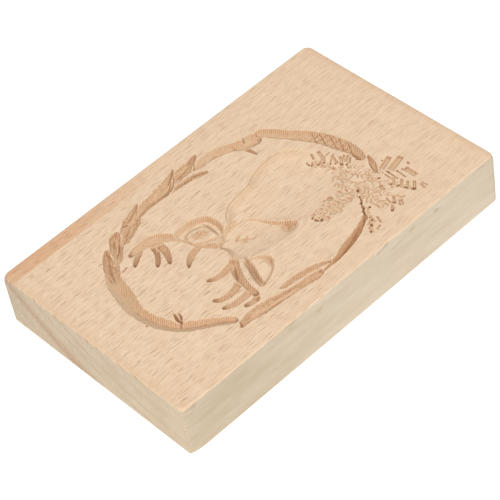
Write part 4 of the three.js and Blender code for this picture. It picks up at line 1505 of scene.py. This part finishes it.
def sanded_material(groups, beech):
    """Beech as it comes off the sander: warm face, paler narrow sides, ringed ends."""
    material, tree, shader = new_material("beech_sanded", beech.face, 0.55, 0.35)
    place = place_in_mm(tree)
    masks, ring, streak = (tree.use(groups[name], {"Place": place}) for name in ("edges", "rings", "fibre"))
    face = long_grain(tree, groups, place, beech)
    _, y, z = tree.split(place)
    blotch = tree.noise(place, (0.25, 0.05, 0.3), 3.0, 0.6)
    paleness = tree.plus(tree.times(streak["Fine"], 0.5), tree.times(blotch, 0.5))
    drift = tree.plus(tree.ramp(y, 66.0, -20.0, 0.3, 0.74), tree.ramp(z, 10.0, 2.0, 0.0, 0.1))
    patches = tree.ramp(paleness, 0.3, 0.7, -0.35, 0.35)
    smudge = tree.noise(place, (0.2, 0.11, 0.3))
    smudge = tree.times(tree.ramp(smudge, 0.58, 0.74, 0.0, 0.45), tree.ramp(z, 12.0, 21.5))
    side = tree.layered(
        beech.side,
        (tree.plus(drift, patches, clamp=True), beech.side_pale),
        (tree.times(ring["Line"], 0.05), beech.ring),
        (tree.ramp(streak["Fine"], 0.5, 0.75, 0.0, 0.1), beech.ring),
        (smudge, beech.ring),
    )
    sockets = {
        "Place": place,
        "Wood": beech.end,
        "Ring": beech.ring,
        "Heart": beech.heart,
        "Ray": beech.ray,
        "Ray Weight": beech.ray_weight,
    }
    end = tree.use(groups["end_grain"], sockets)
    colour = tree.layered(
        face["Colour"],
        (tree.times(masks["Rim"], beech.rim_weight), beech.rim),
        (masks["Side"], side),
        (masks["End"], end["Colour"]),
        (tree.times(masks["Corner"], beech.corner_weight), beech.ring),
    )
    roughness = tree.plus(tree.ramp(streak["Fine"], 0.3, 0.7, 0.5, 0.6), tree.times(masks["End"], 0.12))
    height = tree.plus(face["Height"], tree.times(masks["End"], end["Height"]))
    finish_shader(tree, shader, colour, roughness, height, 0.35)
    return material


def cut_material(groups, beech):
    """Bare beech left by the cutter: warmer where the cut is steep or crosses the grain, with painted
    bounce light, shade and highlights.
    """
    material, tree, shader = new_material("beech_cut", beech.cut, 0.72, 0.25)
    place = place_in_mm(tree)
    grain = long_grain(tree, groups, place, beech)
    _, cross, level = tree.split(tree.add("ShaderNodeNewGeometry").outputs["Normal"])
    stain, burn, warm, torn, rib, hollow, crest = (
        tree.add("ShaderNodeAttribute", attribute_name=name).outputs["Fac"]
        for name in ("stain", "burn", "warm", "torn", "rib", "hollow", "crest")
    )
    steep = tree.math("MAXIMUM", tree.ramp(level, 0.995, 0.88, 0.0, 0.9), stain)
    # Walls facing +Y and torn walls get the cut-across tint: partly end grain and tear-out, partly painted
    # warm bounce light on the side facing the lamp
    across = tree.math("MAXIMUM", tree.ramp(cross, 0.15, 0.65, 0.0, 0.45), tree.times(torn, 0.7))
    across = tree.math("MAXIMUM", across, warm)
    streak = tree.ramp(tree.use(groups["fibre"], {"Place": place})["Fine"], 0.46, 0.66, 0.0, 0.3)
    fuzz = tree.noise(place, (2.2, 1.2, 2.2), 3.0)
    colour = tree.layered(
        grain["Colour"],
        (steep, beech.cut),
        (tree.times(tree.plus(across, streak, clamp=True), steep), beech.deep),
        (tree.times(tree.ramp(fuzz, 0.42, 0.7), tree.times(steep, 0.3)), beech.pale),
        # Painted shade between the torn ribs, then a painted highlight on them
        (tree.times(tree.minus(torn, rib, clamp=True), beech.between_ribs_shade_weight), beech.painted_shade_colour),
        (tree.times(rib, beech.rib_highlight_weight), beech.pale),
        # Painted highlight on sharp ridges
        (tree.times(crest, beech.ridge_highlight_weight), beech.pale),
        # Painted shade in the sharp creases
        (tree.times(hollow, beech.crease_shade_weight), beech.painted_shade_colour),
        # Painted shade at tips, in cracks, along the shade lines and in the spots
        (burn, beech.painted_shade_colour),
    )
    height = tree.plus(grain["Height"], tree.times(fuzz, beech.fuzz_height))
    finish_shader(tree, shader, colour, tree.ramp(fuzz, 0.3, 0.7, 0.66, 0.8), height, 0.45)
    return material


def wood_materials():
    """The sanded beech and the cut beech, made once."""
    found = [bpy.data.materials.get(name) for name in ("beech_sanded", "beech_cut")]
    if all(found):
        return found
    beech = settings("beech")
    rings, flecks, fibre = rings_group(), flecks_group(), fibre_group()
    groups = {
        "rings": rings,
        "fibre": fibre,
        "edges": edge_masks_group(),
        "long_grain": long_grain_group(rings, flecks, fibre),
        "end_grain": end_grain_group(rings),
    }
    return [sanded_material(groups, beech), cut_material(groups, beech)]


class MOULD_OT_wreath(bpy.types.Operator):
    """Makes the cutters of the twig wreath and its thorns"""

    bl_idname = "cookie_mould.wreath"
    bl_label = "Twig wreath"

    def execute(self, context):
        carving = settings("carving")
        tree = gouge_tree()
        for name, paths, depth, sharpness, lean, warmth, flutes in (
            ("wreath_twigs", WREATH_TWIGS, carving.wreath_depth, 1.9, carving.lean, 0.0, 0.4),
            ("ribbed_twigs", RIBBED_TWIGS, carving.wreath_depth, 1.6, carving.undercut, 0.1, 0.8),
            ("round_twigs", ROUND_TWIGS, carving.wreath_depth, 1.3, (0, 0), 0.25, 1.5),
            ("steep_twigs", STEEP_TWIGS, carving.steep_depth, 1.7, carving.undercut, 0.6, 0.6),
            ("wreath_thorns", WREATH_THORNS, carving.thorn_depth, 1.2, (0, 0), 0.4, 0.0),
        ):
            inputs = {
                "Depth": depth,
                "Sharpness": sharpness,
                "Lean": (*lean, 0),
                # Painted shade towards the tips of the twigs
                "Burn": 0.3,
                "Warmth": warmth,
                "Flutes": flutes,
            }
            add_cutter(path_mesh(name, paths), tree, inputs)
        return {"FINISHED"}


class MOULD_OT_antlers(bpy.types.Operator):
    """Makes the cutters of both antlers"""

    bl_idname = "cookie_mould.antlers"
    bl_label = "Antlers"

    def execute(self, context):
        carving = settings("carving")
        inputs = {
            "Depth": carving.antler_depth,
            "Sharpness": 1.4,
            "Lean": (*carving.undercut, 0),
            "Unevenness": 0.1,
            "Tip Ramp": carving.tine_ramp,
            # Painted shade towards the tips of the tines
            "Burn": 0.75,
            "Warmth": 0.2,
            "Flutes": 0.5,
        }
        add_cutter(path_mesh("antlers", LEFT_ANTLER + RIGHT_ANTLER), gouge_tree(), inputs)
        return {"FINISHED"}


class MOULD_OT_fir(bpy.types.Operator):
    """Makes the cutters of the fir sprigs and the cone"""

    bl_idname = "cookie_mould.fir"
    bl_label = "Fir sprigs and cone"

    def execute(self, context):
        carving = settings("carving")
        bold = np.array(BOLD_NEEDLES) * MM
        starts, ends, widths = bold[:, 0:2], bold[:, 2:4], bold[:, 4]
        places = bpy.data.meshes.new("bold_needles")
        places.from_pydata([(x, y, 0) for x, y in (starts + ends) / 2], [], [])
        keep_values(places, "along", np.column_stack([ends - starts, np.zeros(len(bold))]), "FLOAT_VECTOR")
        keep_values(places, "width", widths)
        add_cutter(places, needle_tree(), {"Depth": carving.bold_needle_depth})

        stems = bpy.data.meshes.new("fir_sprigs")
        vertices = [(x * MM, y * MM, 0) for *ends, _ in SPRIGS for x, y in (ends[:2], ends[2:])]
        stems.from_pydata(vertices, [(2 * place, 2 * place + 1) for place in range(len(SPRIGS))], [])
        lengths = [value * MM for *_, length in SPRIGS for value in (length, length * SPRIG_TIP)]
        keep_values(stems, "needle_length", lengths)
        inputs = {
            "Pitch": carving.needle_pitch,
            "Width": carving.needle_width,
            "Depth": carving.needle_depth,
            "Seed": carving.seed,
        }
        add_cutter(stems, sprig_tree(), inputs)

        inputs = {
            "Centre": (CONE_CENTRE[0] * MM, CONE_CENTRE[1] * MM, 0),
            "Width": CONE_SIZE[0] * MM,
            "Length": CONE_SIZE[1] * MM,
            "Pitch": carving.scale_pitch,
            "Depth": carving.cone_depth,
        }
        add_cutter(bpy.data.meshes.new("cone_scales"), cone_tree(), inputs)
        return {"FINISHED"}


class MOULD_OT_board(bpy.types.Operator):
    """Builds the board and cuts the figure into its face"""

    bl_idname = "cookie_mould.board"
    bl_label = "Carved board"

    def execute(self, context):
        mesh = board_mesh()
        if len(mesh.polygons) == 0:
            raise RuntimeError("the board came out empty")
        for material in wood_materials():
            mesh.materials.append(material)
        mark_cut_faces(mesh)
        mesh.polygons.foreach_set("use_smooth", [True] * len(mesh.polygons))
        mesh.set_sharp_from_angle(angle=math.radians(SHARP_ANGLE))
        for cutter in list(cutters_collection().objects):
            bpy.data.objects.remove(cutter)
        bpy.data.collections.remove(cutters_collection())
        piece = bpy.data.objects.new("carved_board", mesh)
        context.scene.collection.objects.link(piece)
        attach(piece, "root")
        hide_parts("mould_board")
        return {"FINISHED"}


class MOULD_OT_stage(bpy.types.Operator):
    """Makes the floor, the lights and the camera"""

    bl_idname = "cookie_mould.stage"
    bl_label = "Stage"

    def execute(self, context):
        scene, stage = context.scene, settings("stage")
        floor_mesh = bpy.data.meshes.new("floor")
        reach = stage.floor_reach
        corners = [(-reach, -reach, 0), (reach, -reach, 0), (reach, reach, 0), (-reach, reach, 0)]
        floor_mesh.from_pydata(corners, [], [(0, 1, 2, 3)])
        material, _, shader = new_material("floor", stage.floor, 0.9)
        shader["Emission Color"].default_value = (1, 1, 1, 1)
        shader["Emission Strength"].default_value = stage.floor_glow
        floor_mesh.materials.append(material)
        floor = bpy.data.objects.new("floor", floor_mesh)
        scene.collection.objects.link(floor)

        scene.world = bpy.data.worlds.new("Studio")
        scene.world.use_nodes = True
        background = scene.world.node_tree.nodes["Background"].inputs
        background["Strength"].default_value = stage.sky
        background["Color"].default_value = (*stage.sky_colour, 1)

        lamp = bpy.data.lights.new("soft_lamp", "AREA")
        lamp.shape = "DISK"
        lamp.size = stage.lamp_size
        lamp.energy = stage.lamp
        lamp.color = stage.lamp_colour
        lamp_object = bpy.data.objects.new("soft_lamp", lamp)
        lamp_object.location = stage.lamp_place
        lamp_object.rotation_euler = (-lamp_object.location).to_track_quat("-Z", "Y").to_euler()
        scene.collection.objects.link(lamp_object)

        camera = bpy.data.cameras.new("camera")
        camera.lens = stage.lens
        camera.sensor_width = 36
        camera.clip_start, camera.clip_end = 0.01, 20
        holder = bpy.data.objects.new("camera", camera)
        right, up = Vector(stage.camera_right), Vector(stage.camera_up)
        turned = Matrix((right, up, right.cross(up))).transposed().to_4x4()
        holder.matrix_world = Matrix.Translation(stage.camera_place) @ turned
        scene.collection.objects.link(holder)
        scene.camera = holder
        scene.view_settings.view_transform = "Standard"
        return {"FINISHED"}


class MOULD_PT_panel(bpy.types.Panel):
    bl_label = "Cookie Mould"
    bl_idname = "MOULD_PT_panel"
    bl_space_type = "VIEW_3D"
    bl_region_type = "UI"
    bl_category = "Cookie Mould"

    def draw(self, context):
        for operator in OPERATORS:
            self.layout.operator(operator.bl_idname)
        for name, group in SETTINGS.items():
            box = self.layout.box()
            box.label(text=name.capitalize())
            for key in group.__annotations__:
                box.prop(settings(name), key)


SETTINGS = {
    "board": BoardSettings,
    "carving": CarvingSettings,
    "beech": BeechSettings,
    "stage": StageSettings,
}
OPERATORS = (MOULD_OT_wreath, MOULD_OT_antlers, MOULD_OT_fir, MOULD_OT_board, MOULD_OT_stage)
CLASSES = (*SETTINGS.values(), *OPERATORS, MOULD_PT_panel)


def register():
    for each in CLASSES:
        bpy.utils.register_class(each)
    for name, group in SETTINGS.items():
        setattr(bpy.types.Scene, "cookie_mould_" + name, PointerProperty(type=group))


def unregister():
    for name in SETTINGS:
        delattr(bpy.types.Scene, "cookie_mould_" + name)
    for each in reversed(CLASSES):
        bpy.utils.unregister_class(each)


def main():
    register()
    bpy.ops.cookie_mould.wreath()
    bpy.ops.cookie_mould.antlers()
    bpy.ops.cookie_mould.fir()
    bpy.ops.cookie_mould.board()
    bpy.ops.cookie_mould.stage()


if __name__ == "__main__":
    main()
